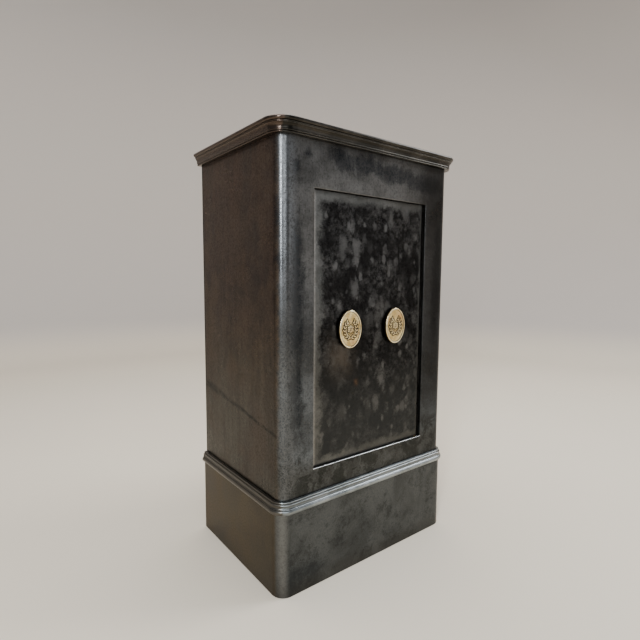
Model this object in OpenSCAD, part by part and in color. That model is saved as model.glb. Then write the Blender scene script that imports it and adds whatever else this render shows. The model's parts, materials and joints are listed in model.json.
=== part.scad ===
// Fire-resisting floor safe on a plinth: bent iron body, recessed door, rack-and-pinion boltwork.
// Frame: +Z up, the door faces -Y, origin at the middle of the footprint on the floor.

/* [Body] */
// Width of the body across its side walls
body_w = 560; // [520:1:620]
// Depth of the body from its front face to its back face
body_d = 392; // [370:1:460]
// Height from the floor to the top of the safe
total_h = 1060; // [1040:1:1160]
// Radius of the two rounded front corners
corner_r = 26; // [22:1:34]

/* [Plinth] */
// Height of the plinth up to the deck that the body stands on
plinth_h = 222; // [200:1:240]
// How far the plinth's plates stand out beyond the body
plinth_out = 7; // [6:0.5:9]

/* [Door] */
// Width of the door opening in the front face
opening_w = 376; // [360:1:390]
// Height of the door opening
opening_h = 642; // [620:1:650]
// Height of the opening's lower edge above the floor
opening_z = 284; // [280:1:292]
// How far the door's face is set back from the front face
recess = 8; // [8:1:8]
// Height of the knob and of the keyhole cover above the floor
fittings_z = 605; // [600:1:610]
// Sideways distance of the knob and the cover from the middle of the door
fittings_x = 77; // [75:1:78]

/* [Boltwork] */
// Pitch radius of the pinion on the knob's spindle
pinion_r = 13; // [13:0.5:13]
// Number of teeth on the pinion
pinion_teeth = 16; // [16:1:16]
// Radius of the round door bolts
bolt_r = 9; // [8:0.5:9]

/* [Hidden] */
$fn = 48;

iron = [0.16, 0.15, 0.14];
worn_iron = [0.30, 0.29, 0.27];
steel = [0.55, 0.55, 0.56];
brass = [0.80, 0.66, 0.38];
packing = [0.72, 0.68, 0.58];
lining_paint = [0.33, 0.20, 0.15];

// Cornice and body
cornice_h = 32;
cornice_out = 23;
casing_t = 6;
flange_t = recess;
plate_t = 6;
front_y = -(body_d - cornice_out) / 2;
back_y = front_y + body_d;
top_z = total_h - plate_t;
inner_w = body_w - 2 * casing_t;
inner_r = corner_r - flange_t + 1;
floor_z = plinth_h + plate_t;
back_flange = 25;

// Door opening and the rebate behind it
opening_top = opening_z + opening_h;
lip = 20;
rebate_y = front_y + 24.5;
frame_back_y = front_y + 40;
lip_w = opening_w - 2 * lip;
lip_z = opening_z + lip;
lip_h = opening_h - 2 * lip;

// Chamber
chamber_w = opening_w + 4;
lining_t = 2;
lining_w = chamber_w + 2 * lining_t;
lining_z = opening_z - lining_t;
lining_h = opening_h + 2 * lining_t;
lining_back_y = front_y + 328;
filling_back_y = back_y - plate_t - casing_t;

// Door
door_gap = 1.5;
door_t = 14;
door_y = front_y + recess;
door_back_y = door_y + door_t;
hinge_x = opening_w / 2 - 9.5;
hinge_y = door_y + door_t / 2;
pin_r = 3.5;
pin_play = 0.07;
pin_hold = 16;
pin_reach = 18;
pan_w = 316;
pan_z = lip_z + 3;
pan_h = lip_h - 6;
pan_t = 3;
pan_back_y = front_y + 90;
pan_flange = 15;
cover_t = 2;
partition_y = front_y + 64;
partition_t = 2;
screw_in = 8;
pan_screw_r = 3;
pan_head_r = 5.5;
pan_head_t = 2.5;
cover_screw_r = 2.5;
cover_head_r = 4.8;
cover_head_top_r = 3;
cover_head_t = 1.8;
cover_screw_edge = 12;

// Boltwork, in a layer behind the lock
bar_y = front_y + 46;
bar_t = 10;
bolt_y = bar_y + bar_t / 2;
bolt_play = 0.1;
tenon_r = 3.5;
throw = PI / 2 * pinion_r;
bolt_zs = [for (k = [-1, 0, 1]) fittings_z + k * 250];
bolt_tip_x = 161.5;
bar_outer_x = 132;
bar_w = 22;
bar_z = bolt_zs[0] - 20;
bar_h = bolt_zs[2] - bolt_zs[0] + 40;
stud_zs = [fittings_z - 150, fittings_z + 150];
stud_x = 120;
stud_r = 5;
stud_shank_r = 4;
stud_collar_r = 9;
stud_head_r = 8;
stud_head_t = 3.7;
stud_play = 0.3;
slot_play = 0.3;
tooth_m = 2 * pinion_r / pinion_teeth;
pressure = 20;
backlash = 0.35;
spindle_r = 6;
spindle_end_r = spindle_r - 1;
bush_r = 10;
arm_h = 15;

// Lock
lock_x = -fittings_x;
lock_w = 88;
lock_z = fittings_z - 49;
lock_h = 76;
lock_t = 20;
lock_wall = 2;
key_z = fittings_z - 5;
notch_z = lock_z - 28;
notch_h = 20;
lock_throw = 12;
lock_screw_r = 2.5;
lock_screw_x = 37;
lock_screw_edge = 7;
lock_boss_r = 4.5;

// Fittings on the door's face
oval_w = 70;
oval_h = 92;
oval_step = 3;
oval_field = 13;
oval_field_t = 1.5;
oval_boss = [29, 38];
oval_boss_low = 0.4;
oval_joint = 0.1;
knob_y = front_y - 3;
knob_t = 7;
knob_neck_r = 13;
knob_neck_end = door_y - 2.3;
spindle_front = knob_y + 4;
swing_cover_y = front_y - 1;
swing_cover_t = 6.5;
cover_pin_z = fittings_z + 36;
cover_pin_r = 3;
cover_pin_front = swing_cover_y + 3;
cover_pin_end = door_back_y + 3.6;
pin_washer_r = 5.5;
pin_washer_y = door_back_y + 0.3;
pin_washer_t = 2;
escutcheon_w = 34;
escutcheon_h = 46;
escutcheon_t = 2;
escutcheon_z = key_z - 2;
escutcheon_pin_x = 12;
escutcheon_pin_r = 1.5;
escutcheon_pin_in = 6;
bush_flange_r = 16;
bush_flange_t = 2;

// ---- Shapes that repeat ----

// A plan with its front edge on y = 0 and its two front corners rounded.
module plan(w, d, r) {
    translate([-w / 2 + r, 0]) square([w - 2 * r, d]);
    translate([-w / 2, r]) square([w, d - r]);
    for (s = [-1, 1]) translate([s * (w / 2 - r), r]) circle(r);
}

// A moulding that runs along one side, round the front and along the other side.
// Its profile's points are [outwards from the body's face, up].
module wrap_moulding(profile, z) {
    translate([body_w / 2 - corner_r, front_y, z]) rotate([90, 0, -90])
        linear_extrude(body_w - 2 * corner_r) polygon(profile);
    for (s = [0, 1]) mirror([s, 0, 0]) {
        translate([body_w / 2, back_y, z]) rotate([90, 0, 0])
            linear_extrude(body_d - corner_r) polygon(profile);
        translate([body_w / 2 - corner_r, front_y + corner_r, z]) rotate([0, 0, -90])
            rotate_extrude(angle = 90) translate([corner_r, 0]) polygon(profile);
    }
}

// A box from y0 back to y1, centred on x.
module slab(w, y0, y1, z, h, x = 0) translate([x - w / 2, y0, z]) cube([w, y1 - y0, h]);

// A round bar along +Y.
module bar_along_y(r, y0, y1, x, z) translate([x, y0, z]) rotate([-90, 0, 0]) cylinder(r = r, h = y1 - y0);

// A round bar along +X.
module bar_along_x(r, x0, x1, y, z) translate([x0, y, z]) rotate([0, 90, 0]) cylinder(r = r, h = x1 - x0);

// Points of an arc, or of a stretch of an ellipse, from angle a0 to a1.
function arc(cx, cy, rx, ry, a0, a1, n) =
    [for (i = [0 : n]) let(a = a0 + (a1 - a0) * i / n) [cx + rx * cos(a), cy + ry * sin(a)]];

function oval(w, h, n = 64) = [for (i = [0 : n - 1]) [w / 2 * cos(360 * i / n), h / 2 * sin(360 * i / n)]];

// An upright oval plate on the door, seen from the front, from y0 back to y1.
module oval_plate(w, h, y0, y1, x, z) translate([x, y1, z]) rotate([90, 0, 0]) linear_extrude(y1 - y0)
    polygon(oval(w, h));

// From the bottom: a bead, a fillet, a cove, a reed and the rounded lip at the top.
lip_r = 4.8;
cornice_profile = concat(
    [[0, 0], [11, 0]],
    arc(11.2, 1.6, 1.6, 1.6, -80, 80, 6),
    [[11.6, 4], [13.4, 4.4], [13.4, 6.6]],
    arc(18.6, 7.2, 5.6, 12, 180, 100, 8),
    arc(17.6, 20.6, 1.5, 1.5, -70, 70, 4),
    arc(cornice_out - lip_r, cornice_h - lip_r, lip_r, lip_r, -80, 90, 10),
    [[0, cornice_h]]);

// From the bottom: a torus, a cove, two beads and the gap beside the body.
moulding_drop = 24;
moulding_rise = 6;
moulding_play = 1.5;
moulding_profile = concat(
    [[plinth_out, -moulding_drop]],
    arc(plinth_out + 0.6, -16.8, 6.6, 7, -80, 60, 14),
    arc(13.4, -4.6, 4.6, 6.2, 245, 170, 6),
    arc(plinth_out + 1.3, -1.2, 1.6, 1.6, -60, 70, 5),
    [[plinth_out + 0.4, 1.2]],
    arc(5.6, 3.4, 1.9, 1.9, -40, 90, 5),
    [[moulding_play, moulding_rise], [moulding_play, 0], [plinth_out, 0]]);

// ---- Body ----

cornice_screw_z = total_h - 14;
cornice_screw_r = 3;
cornice_screw_in = 9;
module cornice_screw_shafts() {
    for (x = [-180, 0, 180])
        bar_along_y(cornice_screw_r, front_y - cornice_screw_in, front_y + flange_t, x, cornice_screw_z);
    for (s = [0, 1], y = [front_y + 110, front_y + 290]) mirror([s, 0, 0])
        bar_along_x(cornice_screw_r, body_w / 2 - casing_t, body_w / 2 + cornice_screw_in, y,
                    cornice_screw_z);
}

module body_casing() color(iron) difference() {
    translate([0, front_y, plinth_h]) linear_extrude(top_z - plinth_h) difference() {
        plan(body_w, body_d - plate_t, corner_r);
        translate([0, flange_t]) plan(inner_w, body_d - plate_t - casing_t - flange_t, inner_r);
        translate([-inner_w / 2 + back_flange, body_d / 2]) square([inner_w - 2 * back_flange, body_d]);
    }
    slab(opening_w, front_y - 1, front_y + flange_t + 1, opening_z, opening_h);
    cornice_screw_shafts();
}

module top_plate() color(iron) translate([0, front_y, top_z]) linear_extrude(plate_t)
    plan(body_w, body_d, corner_r);

bolt_spots = [for (x = [-200, 200], y = [front_y + 70, front_y + 330]) [x, y]];
holding_r = 6;
holding_play = 0.3;
holding_head_r = 11;
holding_head_h = 8;
module bottom_plate() color(iron) difference() {
    translate([0, front_y + flange_t, plinth_h]) linear_extrude(plate_t)
        plan(inner_w, body_d - plate_t - casing_t - flange_t, inner_r);
    for (p = bolt_spots) translate([p[0], p[1], plinth_h - 1]) cylinder(r = holding_r, h = plate_t + 2);
}

rivet_r = 5;
rivet_zs = [for (k = [0 : 8]) plinth_h + 30 + k * (top_z - plinth_h - 60) / 8];
rivet_x = body_w / 2 - casing_t - back_flange / 2;
module rivet_shafts() for (s = [-1, 1], z = rivet_zs)
    bar_along_y(rivet_r, back_y - plate_t - casing_t, back_y, s * rivet_x, z);

module back_plate() color(iron) difference() {
    slab(body_w, back_y - plate_t, back_y, plinth_h, top_z - plinth_h);
    rivet_shafts();
}

module back_rivets() color(worn_iron) intersection() {
    rivet_shafts();
    slab(body_w, back_y - plate_t, back_y, plinth_h, top_z - plinth_h);
}

module cornice() color(iron) difference() {
    wrap_moulding(cornice_profile, total_h - cornice_h);
    cornice_screw_shafts();
}

module cornice_screws() color(steel) cornice_screw_shafts();

// The holes for the two hinge pins, with room past the pins' ends.
module pin_holes(r, room = 0) for (z = [opening_z - pin_hold, opening_top - pin_reach - room])
    translate([hinge_x, hinge_y, z]) cylinder(r = r, h = pin_hold + pin_reach + room);

module door_frame() color(iron) difference() {
    translate([0, front_y + flange_t, floor_z]) linear_extrude(top_z - floor_z)
        plan(inner_w, frame_back_y - front_y - flange_t, inner_r);
    slab(opening_w, front_y, rebate_y, opening_z, opening_h);
    slab(lip_w, front_y, frame_back_y + 1, lip_z, lip_h);
    // Takes off what the corners' rounding reaches past the back face.
    slab(inner_w, frame_back_y, frame_back_y + inner_r, floor_z - 1, top_z - floor_z + 2);
    pin_holes(pin_r);
}

module chamber_lining() color(lining_paint) difference() {
    slab(lining_w, frame_back_y, lining_back_y, lining_z, lining_h);
    slab(chamber_w, frame_back_y - 1, lining_back_y - lining_t, opening_z, opening_h);
}

side_filling_w = (inner_w - lining_w) / 2;
side_filling_x = (inner_w + lining_w) / 4;
module side_filling(s) color(packing)
    slab(side_filling_w, frame_back_y, filling_back_y, floor_z, top_z - floor_z, s * side_filling_x);
module left_filling() side_filling(-1);
module right_filling() side_filling(1);
module top_filling() color(packing)
    slab(lining_w, frame_back_y, filling_back_y, lining_z + lining_h, top_z - lining_z - lining_h);
module bottom_filling() color(packing)
    slab(lining_w, frame_back_y, filling_back_y, floor_z, lining_z - floor_z);
module back_filling() color(packing) slab(lining_w, lining_back_y, back_y - plate_t, lining_z, lining_h);

shelf_z = 560;
shelf_y = front_y + 98;
shelf_t = 3;
shelf_lip = 18;
module shelf() color(lining_paint) {
    slab(chamber_w - 3, shelf_y, lining_back_y - lining_t - 1, shelf_z, shelf_t);
    slab(chamber_w - 3 - 2 * 20, shelf_y, shelf_y + shelf_t, shelf_z - shelf_lip, shelf_lip + shelf_t);
}

ledge = 16;
ledge_t = 2.5;
ledge_l = 200;
module shelf_ledges() color(worn_iron) for (s = [0, 1]) mirror([s, 0, 0]) {
    translate([chamber_w / 2 - ledge, shelf_y + 8, shelf_z - ledge_t]) cube([ledge, ledge_l, ledge_t]);
    translate([chamber_w / 2 - ledge_t, shelf_y + 8, shelf_z - ledge]) cube([ledge_t, ledge_l, ledge]);
}

// ---- Hinge ----

module upper_hinge_pin() color(steel)
    translate([hinge_x, hinge_y, opening_top - pin_reach]) cylinder(r = pin_r, h = pin_hold + pin_reach);
module lower_hinge_pin() color(steel)
    translate([hinge_x, hinge_y, opening_z - pin_hold]) cylinder(r = pin_r, h = pin_hold + pin_reach);

washer_r = 6.5;
washer_play = 0.2;
module hinge_washer() color(brass) translate([hinge_x, hinge_y, opening_z]) difference() {
    cylinder(r = washer_r, h = door_gap - washer_play);
    translate([0, 0, -1]) cylinder(r = pin_r + pin_play, h = door_gap + 2);
}

// ---- Plinth ----

deck_t = 6;
deck_z = plinth_h - deck_t;
shell_t = 5;
plinth_w = body_w + 2 * plinth_out;
plinth_d = body_d + plinth_out;
plinth_r = corner_r + plinth_out;
plinth_y = front_y - plinth_out;
plinth_rivet_z = plinth_h - 16;
plinth_rivet_r = 2.5;
plinth_rivet_in = 4;
module plinth_rivet_shafts() {
    for (x = [-200, -70, 70, 200])
        bar_along_y(plinth_rivet_r, plinth_y - plinth_rivet_in, plinth_y + shell_t, x, plinth_rivet_z);
    for (s = [0, 1], y = [plinth_y + 90, plinth_y + 200, plinth_y + 310]) mirror([s, 0, 0])
        bar_along_x(plinth_rivet_r, plinth_w / 2 - shell_t, plinth_w / 2 + plinth_rivet_in, y,
                    plinth_rivet_z);
}

module plinth_shell() color(iron) difference() {
    translate([0, plinth_y, 0]) linear_extrude(deck_z) difference() {
        plan(plinth_w, plinth_d, plinth_r);
        translate([0, shell_t]) plan(plinth_w - 2 * shell_t, plinth_d, plinth_r - shell_t);
    }
    plinth_rivet_shafts();
}

module plinth_back() color(iron) slab(plinth_w - 2 * shell_t, back_y - shell_t, back_y, 0, deck_z);

module plinth_moulding() color(iron) difference() {
    wrap_moulding(moulding_profile, plinth_h);
    plinth_rivet_shafts();
}

module moulding_rivets() color(worn_iron) plinth_rivet_shafts();

module plinth_deck() color(iron) difference() {
    translate([0, plinth_y, deck_z]) linear_extrude(deck_t) plan(plinth_w, plinth_d, plinth_r);
    for (p = bolt_spots) translate([p[0], p[1], deck_z - 1])
        cylinder(r = holding_r + holding_play, h = deck_t + 2);
}

post_leg = 40;
post_t = 5;
post_ys = [plinth_y + plinth_r + 2, back_y - shell_t - post_leg];
module plinth_posts() color(iron) for (s = [0, 1], y = post_ys) mirror([s, 0, 0])
    translate([plinth_w / 2 - shell_t - post_leg, y, 0]) linear_extrude(deck_z) {
        translate([post_leg - post_t, 0]) square([post_t, post_leg]);
        translate([0, y > 0 ? post_leg - post_t : 0]) square([post_leg, post_t]);
    }

module holding_bolts() color(steel) for (p = bolt_spots) translate([p[0], p[1], 0]) {
    translate([0, 0, deck_z - holding_head_h]) cylinder(r = holding_head_r, h = holding_head_h, $fn = 6);
    translate([0, 0, deck_z - 1]) cylinder(r = holding_r, h = floor_z - deck_z + 1);
}

// ---- Door ----

door_left = -opening_w / 2 + door_gap;
door_z = opening_z + door_gap;
door_h = opening_h - 2 * door_gap;
nose_x = hinge_x + 1;

keyhole_r = 4.5;
keyhole_slot_w = 5;
keyhole_slot_h = 14;
module keyhole(y0, y1) {
    bar_along_y(keyhole_r, y0, y1, lock_x, key_z);
    slab(keyhole_slot_w, y0, y1, key_z - keyhole_slot_h, keyhole_slot_h, lock_x);
}

module door_plate() color(iron) difference() {
    union() {
        translate([door_left, door_y, door_z]) cube([nose_x - door_left, door_t, door_h]);
        translate([nose_x, hinge_y, door_z]) cylinder(r = door_t / 2, h = door_h);
    }
    pin_holes(pin_r + pin_play, 0.5);
    bar_along_y(bush_r, door_y - 1, door_back_y + 1, fittings_x, fittings_z);
    bar_along_y(cover_pin_r + pin_play, door_y - 1, door_back_y + 1, lock_x, cover_pin_z);
    keyhole(door_y - 1, door_back_y + 1);
    pan_screw_shafts();
    lock_screw_shafts();
    escutcheon_pin_shafts();
    stud_shafts(stud_shank_r);
}

// The pan is a folded case: four sides, and a flange turned inwards at the front and at the back.
module door_pan() color(iron) difference() {
    slab(pan_w, door_back_y, pan_back_y, pan_z, pan_h);
    slab(pan_w - 2 * pan_t, door_back_y + pan_t, pan_back_y - pan_t, pan_z + pan_t, pan_h - 2 * pan_t);
    slab(pan_w - 2 * pan_t - 2 * pan_flange, door_back_y - 1, pan_back_y + 1, pan_z + pan_t + pan_flange,
         pan_h - 2 * pan_t - 2 * pan_flange);
    for (z = bolt_zs) bar_along_x(bolt_r + bolt_play, -pan_w, pan_w, bolt_y, z);
    pan_screw_shafts();
    cover_screw_shafts();
}

flange_mid_x = pan_w / 2 - pan_t - pan_flange / 2;
pan_screw_zs = [pan_z + 60, fittings_z - 60, pan_z + pan_h - 60];
pan_screw_spots = [for (s = [-1, 1], z = pan_screw_zs) [s * flange_mid_x, z]];
module pan_screw_shafts() for (p = pan_screw_spots)
    bar_along_y(pan_screw_r, door_back_y - screw_in, door_back_y + pan_t, p[0], p[1]);
module pan_screws() color(steel) {
    pan_screw_shafts();
    for (p = pan_screw_spots)
        bar_along_y(pan_head_r, door_back_y + pan_t, door_back_y + pan_t + pan_head_t, p[0], p[1]);
}

inside_w = pan_w - 2 * pan_t - 1;
inside_z = pan_z + pan_t + 0.5;
inside_h = pan_h - 2 * pan_t - 1;
module partition_plate() color(worn_iron) difference() {
    slab(inside_w, partition_y, partition_y + partition_t, inside_z, inside_h);
    bar_along_y(spindle_end_r + 0.1, partition_y - 1, partition_y + partition_t + 1, fittings_x, fittings_z);
}

module door_filling() color(packing)
    slab(inside_w, partition_y + partition_t, pan_back_y - pan_t, inside_z, inside_h);

module door_cover() color(lining_paint) difference() {
    slab(pan_w, pan_back_y, pan_back_y + cover_t, pan_z, pan_h);
    cover_screw_shafts();
}

cover_screw_spots = concat(
    [for (s = [-1, 1], k = [0 : 4])
        [s * flange_mid_x, pan_z + cover_screw_edge + k * (pan_h - 2 * cover_screw_edge) / 4]],
    [for (z = [pan_z + cover_screw_edge, pan_z + pan_h - cover_screw_edge]) [0, z]]);
module cover_screw_shafts() for (p = cover_screw_spots)
    bar_along_y(cover_screw_r, pan_back_y - pan_t, pan_back_y + cover_t, p[0], p[1]);
module cover_screws() color(brass) {
    cover_screw_shafts();
    for (p = cover_screw_spots)
        translate([p[0], pan_back_y + cover_t, p[1]]) rotate([-90, 0, 0])
            cylinder(r1 = cover_head_r, r2 = cover_head_top_r, h = cover_head_t);
}

module spindle_bush() color(brass) difference() {
    union() {
        bar_along_y(bush_r, door_y, door_back_y, fittings_x, fittings_z);
        bar_along_y(bush_flange_r, door_y - bush_flange_t, door_y, fittings_x, fittings_z);
    }
    bar_along_y(spindle_r + pin_play, door_y - bush_flange_t - 1, door_back_y + 1, fittings_x, fittings_z);
}

module stud_shafts(r) for (s = [-1, 1], z = stud_zs)
    bar_along_y(r, door_back_y - screw_in, door_back_y + 1, s * stud_x, z);
module guide_studs() color(steel) for (s = [-1, 1], z = stud_zs) {
    head_y = bar_y + bar_t + stud_play;
    bar_along_y(stud_shank_r, door_back_y - screw_in, door_back_y, s * stud_x, z);
    bar_along_y(stud_collar_r, door_back_y, bar_y - stud_play, s * stud_x, z);
    bar_along_y(stud_r, bar_y - stud_play, head_y, s * stud_x, z);
    bar_along_y(stud_head_r, head_y, head_y + stud_head_t, s * stud_x, z);
}

// ---- Fittings on the door's face ----

escutcheon_pin_spots = [for (s = [-1, 1]) [lock_x + s * escutcheon_pin_x, escutcheon_z]];
module escutcheon_pin_shafts() for (p = escutcheon_pin_spots)
    bar_along_y(escutcheon_pin_r, door_y - escutcheon_t, door_y + escutcheon_pin_in, p[0], p[1]);
module keyhole_escutcheon() color(brass) difference() {
    oval_plate(escutcheon_w, escutcheon_h, door_y - escutcheon_t, door_y, lock_x, escutcheon_z);
    keyhole(door_y - escutcheon_t - 1, door_y + 1);
    escutcheon_pin_shafts();
}
module escutcheon_pins() color(brass) escutcheon_pin_shafts();

// An oval of cast brass: a plate with a raised rim, a sunk field and a low boss in its middle.
module oval_casting(y0, t, x) {
    field_y = y0 + oval_field_t;
    oval_plate(oval_w, oval_h, field_y, y0 + t, x, fittings_z);
    difference() {
        oval_plate(oval_w - oval_step, oval_h - oval_step, y0, field_y + oval_joint, x, fittings_z);
        oval_plate(oval_w - oval_field, oval_h - oval_field, y0 - 1, field_y, x, fittings_z);
    }
    oval_plate(oval_w - oval_boss[0], oval_h - oval_boss[1], y0 + oval_boss_low, field_y + oval_joint, x,
               fittings_z);
}

module keyhole_cover() color(brass) difference() {
    oval_casting(swing_cover_y, swing_cover_t, lock_x);
    bar_along_y(cover_pin_r, cover_pin_front, front_y + recess, lock_x, cover_pin_z);
}

module cover_pivot_pin() color(brass)
    bar_along_y(cover_pin_r, cover_pin_front, cover_pin_end, lock_x, cover_pin_z);

module cover_pin_washer() color(steel) difference() {
    bar_along_y(pin_washer_r, pin_washer_y, pin_washer_y + pin_washer_t, lock_x, cover_pin_z);
    bar_along_y(cover_pin_r, pin_washer_y - 1, pin_washer_y + pin_washer_t + 1, lock_x, cover_pin_z);
}

module handle_knob() color(brass) difference() {
    union() {
        oval_casting(knob_y, knob_t, fittings_x);
        bar_along_y(knob_neck_r, knob_y + knob_t - 1, knob_neck_end, fittings_x, fittings_z);
    }
    bar_along_y(spindle_r, spindle_front, door_y, fittings_x, fittings_z);
}

module handle_spindle() color(steel) difference() {
    union() {
        bar_along_y(spindle_r, spindle_front, partition_y - 1, fittings_x, fittings_z);
        bar_along_y(spindle_end_r, partition_y - 2, partition_y + partition_t - 0.5, fittings_x, fittings_z);
    }
    pinion_pin_shaft();
}

// ---- Boltwork ----

// An involute tooth's flank, as points from the base circle to the tip.
base_r = pinion_r * cos(pressure);
tip_r = pinion_r + tooth_m;
root_r = pinion_r - 1.25 * tooth_m;
function involute_angle(r) = let(a = acos(min(1, base_r / r))) tan(a) * 180 / PI - a;
flank_rs = [for (i = [0 : 6]) base_r + (tip_r - base_r) * i / 6];
tooth_half = 90 / pinion_teeth - backlash / 4 / pinion_r * 180 / PI + involute_angle(pinion_r);
function polar(r, a) = [r * sin(a), r * cos(a)];
function tooth(at) = concat(
    [polar(root_r, at - tooth_half)],
    [for (r = flank_rs) polar(r, at - tooth_half + involute_angle(r))],
    [for (i = [6 : -1 : 0]) polar(flank_rs[i], at + tooth_half - involute_angle(flank_rs[i]))],
    [polar(root_r, at + tooth_half)]);

boss_r = 9.5;
boss_t = 6;
module pinion_pin_shaft()
    bar_along_x(1.5, fittings_x - boss_r, fittings_x + boss_r, bar_y + bar_t + boss_t / 2, fittings_z);

// A tooth points straight up and another straight down, into a gap of each rack.
module bolt_pinion() color(steel) difference() {
    union() {
        translate([fittings_x, bar_y + bar_t, fittings_z]) rotate([90, 0, 0]) linear_extrude(bar_t)
            polygon([for (k = [0 : pinion_teeth - 1]) each tooth(k * 360 / pinion_teeth)]);
        bar_along_y(boss_r, bar_y + bar_t - 1, bar_y + bar_t + boss_t, fittings_x, fittings_z);
    }
    bar_along_y(spindle_r, bar_y - 1, bar_y + bar_t + boss_t + 1, fittings_x, fittings_z);
    pinion_pin_shaft();
}

// The pinion's boss carries a cross pin that holds it on the spindle.
module pinion_pin() color(steel) pinion_pin_shaft();

// A rack along x, teeth up, with a gap centred on x = 0 and its pitch line on z = 0.
module rack(x0, x1) {
    pitch = PI * tooth_m;
    half = pitch / 4 - backlash / 4;
    top = 0.9 * tooth_m;
    foot = 1.25 * tooth_m + 0.1;
    top_half = half - top * tan(pressure);
    foot_half = half + foot * tan(pressure);
    translate([x0, 0.1 - foot - arm_h]) square([x1 - x0, arm_h]);
    for (k = [ceil(x0 / pitch) : floor(x1 / pitch) - 1]) translate([(k + 0.5) * pitch, 0])
        polygon([[-foot_half, -foot], [-top_half, top], [top_half, top], [foot_half, -foot]]);
}

// A flat bar that carries the bolts of the +X side, with two slotted lugs that ride on the guide studs.
module bolt_bar() difference() {
    union() {
        translate([bar_outer_x - bar_w, bar_y, bar_z]) cube([bar_w, bar_t, bar_h]);
        for (z = stud_zs) translate([bar_outer_x - 45, bar_y, z - 14]) cube([45, bar_t, 28]);
    }
    for (z = stud_zs) {
        translate([stud_x - throw - slot_play, bar_y - 1, z - stud_r - slot_play])
            cube([throw + slot_play, bar_t + 2, 2 * (stud_r + slot_play)]);
        for (x = [stud_x, stud_x - throw - slot_play])
            bar_along_y(stud_r + slot_play, bar_y - 1, bar_y + bar_t + 1, x, z);
    }
    for (z = bolt_zs) bar_along_x(tenon_r, bar_outer_x - bar_w - 1, bar_outer_x + 1, bolt_y, z);
}

// Three bolts of the +X side: each is turned down where it is riveted into the bar.
module side_bolts() for (z = bolt_zs) {
    bar_along_x(tenon_r, bar_outer_x - bar_w, bar_outer_x + 1, bolt_y, z);
    bar_along_x(bolt_r, bar_outer_x, bolt_tip_x - 2, bolt_y, z);
    translate([bolt_tip_x - 2, bolt_y, z]) rotate([0, 90, 0]) cylinder(r1 = bolt_r, r2 = bolt_r - 2, h = 2);
}

module left_bolt_bar() color(worn_iron) {
    mirror([1, 0, 0]) bolt_bar();
    translate([fittings_x, bar_y + bar_t, fittings_z - pinion_r]) rotate([90, 0, 0]) linear_extrude(bar_t)
        rack(-bar_outer_x + bar_w / 2 - fittings_x, 27);
}

module right_bolt_bar() color(worn_iron) {
    bolt_bar();
    translate([fittings_x, bar_y, fittings_z + pinion_r]) rotate([-90, 0, 0]) linear_extrude(bar_t)
        rack(-throw - 7, bar_outer_x - bar_w / 2 - fittings_x);
}

module left_bolts() color(steel) mirror([1, 0, 0]) side_bolts();
module right_bolts() color(steel) side_bolts();

// ---- Lock ----

lock_y = door_back_y;
lock_mid_y = lock_y + 12;
notch_t = 8;
notch_half = 6.5;

// The lock's bolt drops into one of two notches, so the boltwork is held thrown or withdrawn.
module lock_notch_plate() color(steel) difference() {
    union() {
        translate([-bar_outer_x, lock_mid_y - notch_t / 2, notch_z])
            cube([bar_outer_x + lock_x + 33, notch_t, notch_h]);
        translate([-bar_outer_x, lock_mid_y + notch_t / 2, notch_z])
            cube([bar_w, bar_y - lock_mid_y - notch_t / 2, notch_h]);
    }
    for (x = [lock_x, lock_x + throw]) translate([x - notch_half, lock_y, notch_z + notch_h - lock_throw])
        cube([2 * notch_half, lock_t, lock_throw + 1]);
}

lock_screw_spots = [for (s = [-1, 1], z = [lock_z + lock_screw_edge, lock_z + lock_h - lock_screw_edge])
    [lock_x + s * lock_screw_x, z]];
module lock_screw_shafts() for (p = lock_screw_spots)
    bar_along_y(lock_screw_r, lock_y - screw_in, lock_y + lock_t, p[0], p[1]);

module lock_case() color(worn_iron) difference() {
    union() {
        difference() {
            slab(lock_w, lock_y, lock_y + lock_t - lock_wall, lock_z, lock_h, lock_x);
            slab(lock_w - 2 * lock_wall, lock_y + lock_wall, lock_y + lock_t, lock_z + lock_wall,
                 lock_h - 2 * lock_wall, lock_x);
        }
        for (p = lock_screw_spots)
            bar_along_y(lock_boss_r, lock_y, lock_y + lock_t - lock_wall, p[0], p[1]);
    }
    lock_screw_shafts();
    keyhole(lock_y - 1, lock_y + 4);
    slab(12.4, lock_mid_y - 4.2, lock_mid_y + 4.2, lock_z - 1, 4, lock_x);
    lever_pin_shaft();
}

module lock_cap() color(worn_iron) difference() {
    slab(lock_w, lock_y + lock_t - lock_wall, lock_y + lock_t, lock_z, lock_h, lock_x);
    lock_screw_shafts();
}

module lock_screws() color(steel) lock_screw_shafts();

// The lock's bolt: a head that goes down through the case, and a tail beside the curtain.
bolt_rest_z = lock_z - 4;
module lock_bolt() color(brass) {
    slab(12, lock_mid_y - 4, lock_mid_y + 4, bolt_rest_z, 26, lock_x);
    slab(50, lock_mid_y, lock_mid_y + 4, bolt_rest_z + 20, 8, lock_x - 5);
    slab(10, lock_mid_y, lock_mid_y + 4, bolt_rest_z + 20, 42, lock_x - 25);
}

lever_x = lock_x + 30;
lever_z = key_z + 16;
lever_t = 1.3;
lever_h = 8;
lever_l = 56;
lever_pin_r = 2.5;
lever_ys = [for (k = [0 : 4]) lock_y + 2.4 + 1.6 * k];
module lever_pin_shaft()
    bar_along_y(lever_pin_r, lock_y + 0.5, lock_y + lock_t - lock_wall, lever_x, lever_z);
module lever_pivot() color(steel) lever_pin_shaft();

// Levers hang side by side on one pin, over the curtain.
module lock_levers() color(brass) for (y = lever_ys)
    translate([lever_x, y + lever_t, lever_z]) rotate([90, 0, 0]) linear_extrude(lever_t) difference() {
        union() {
            circle(5.5);
            translate([-lever_l, -3.5]) square([lever_l, lever_h]);
        }
        circle(lever_pin_r + 0.07);
    }

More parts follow.
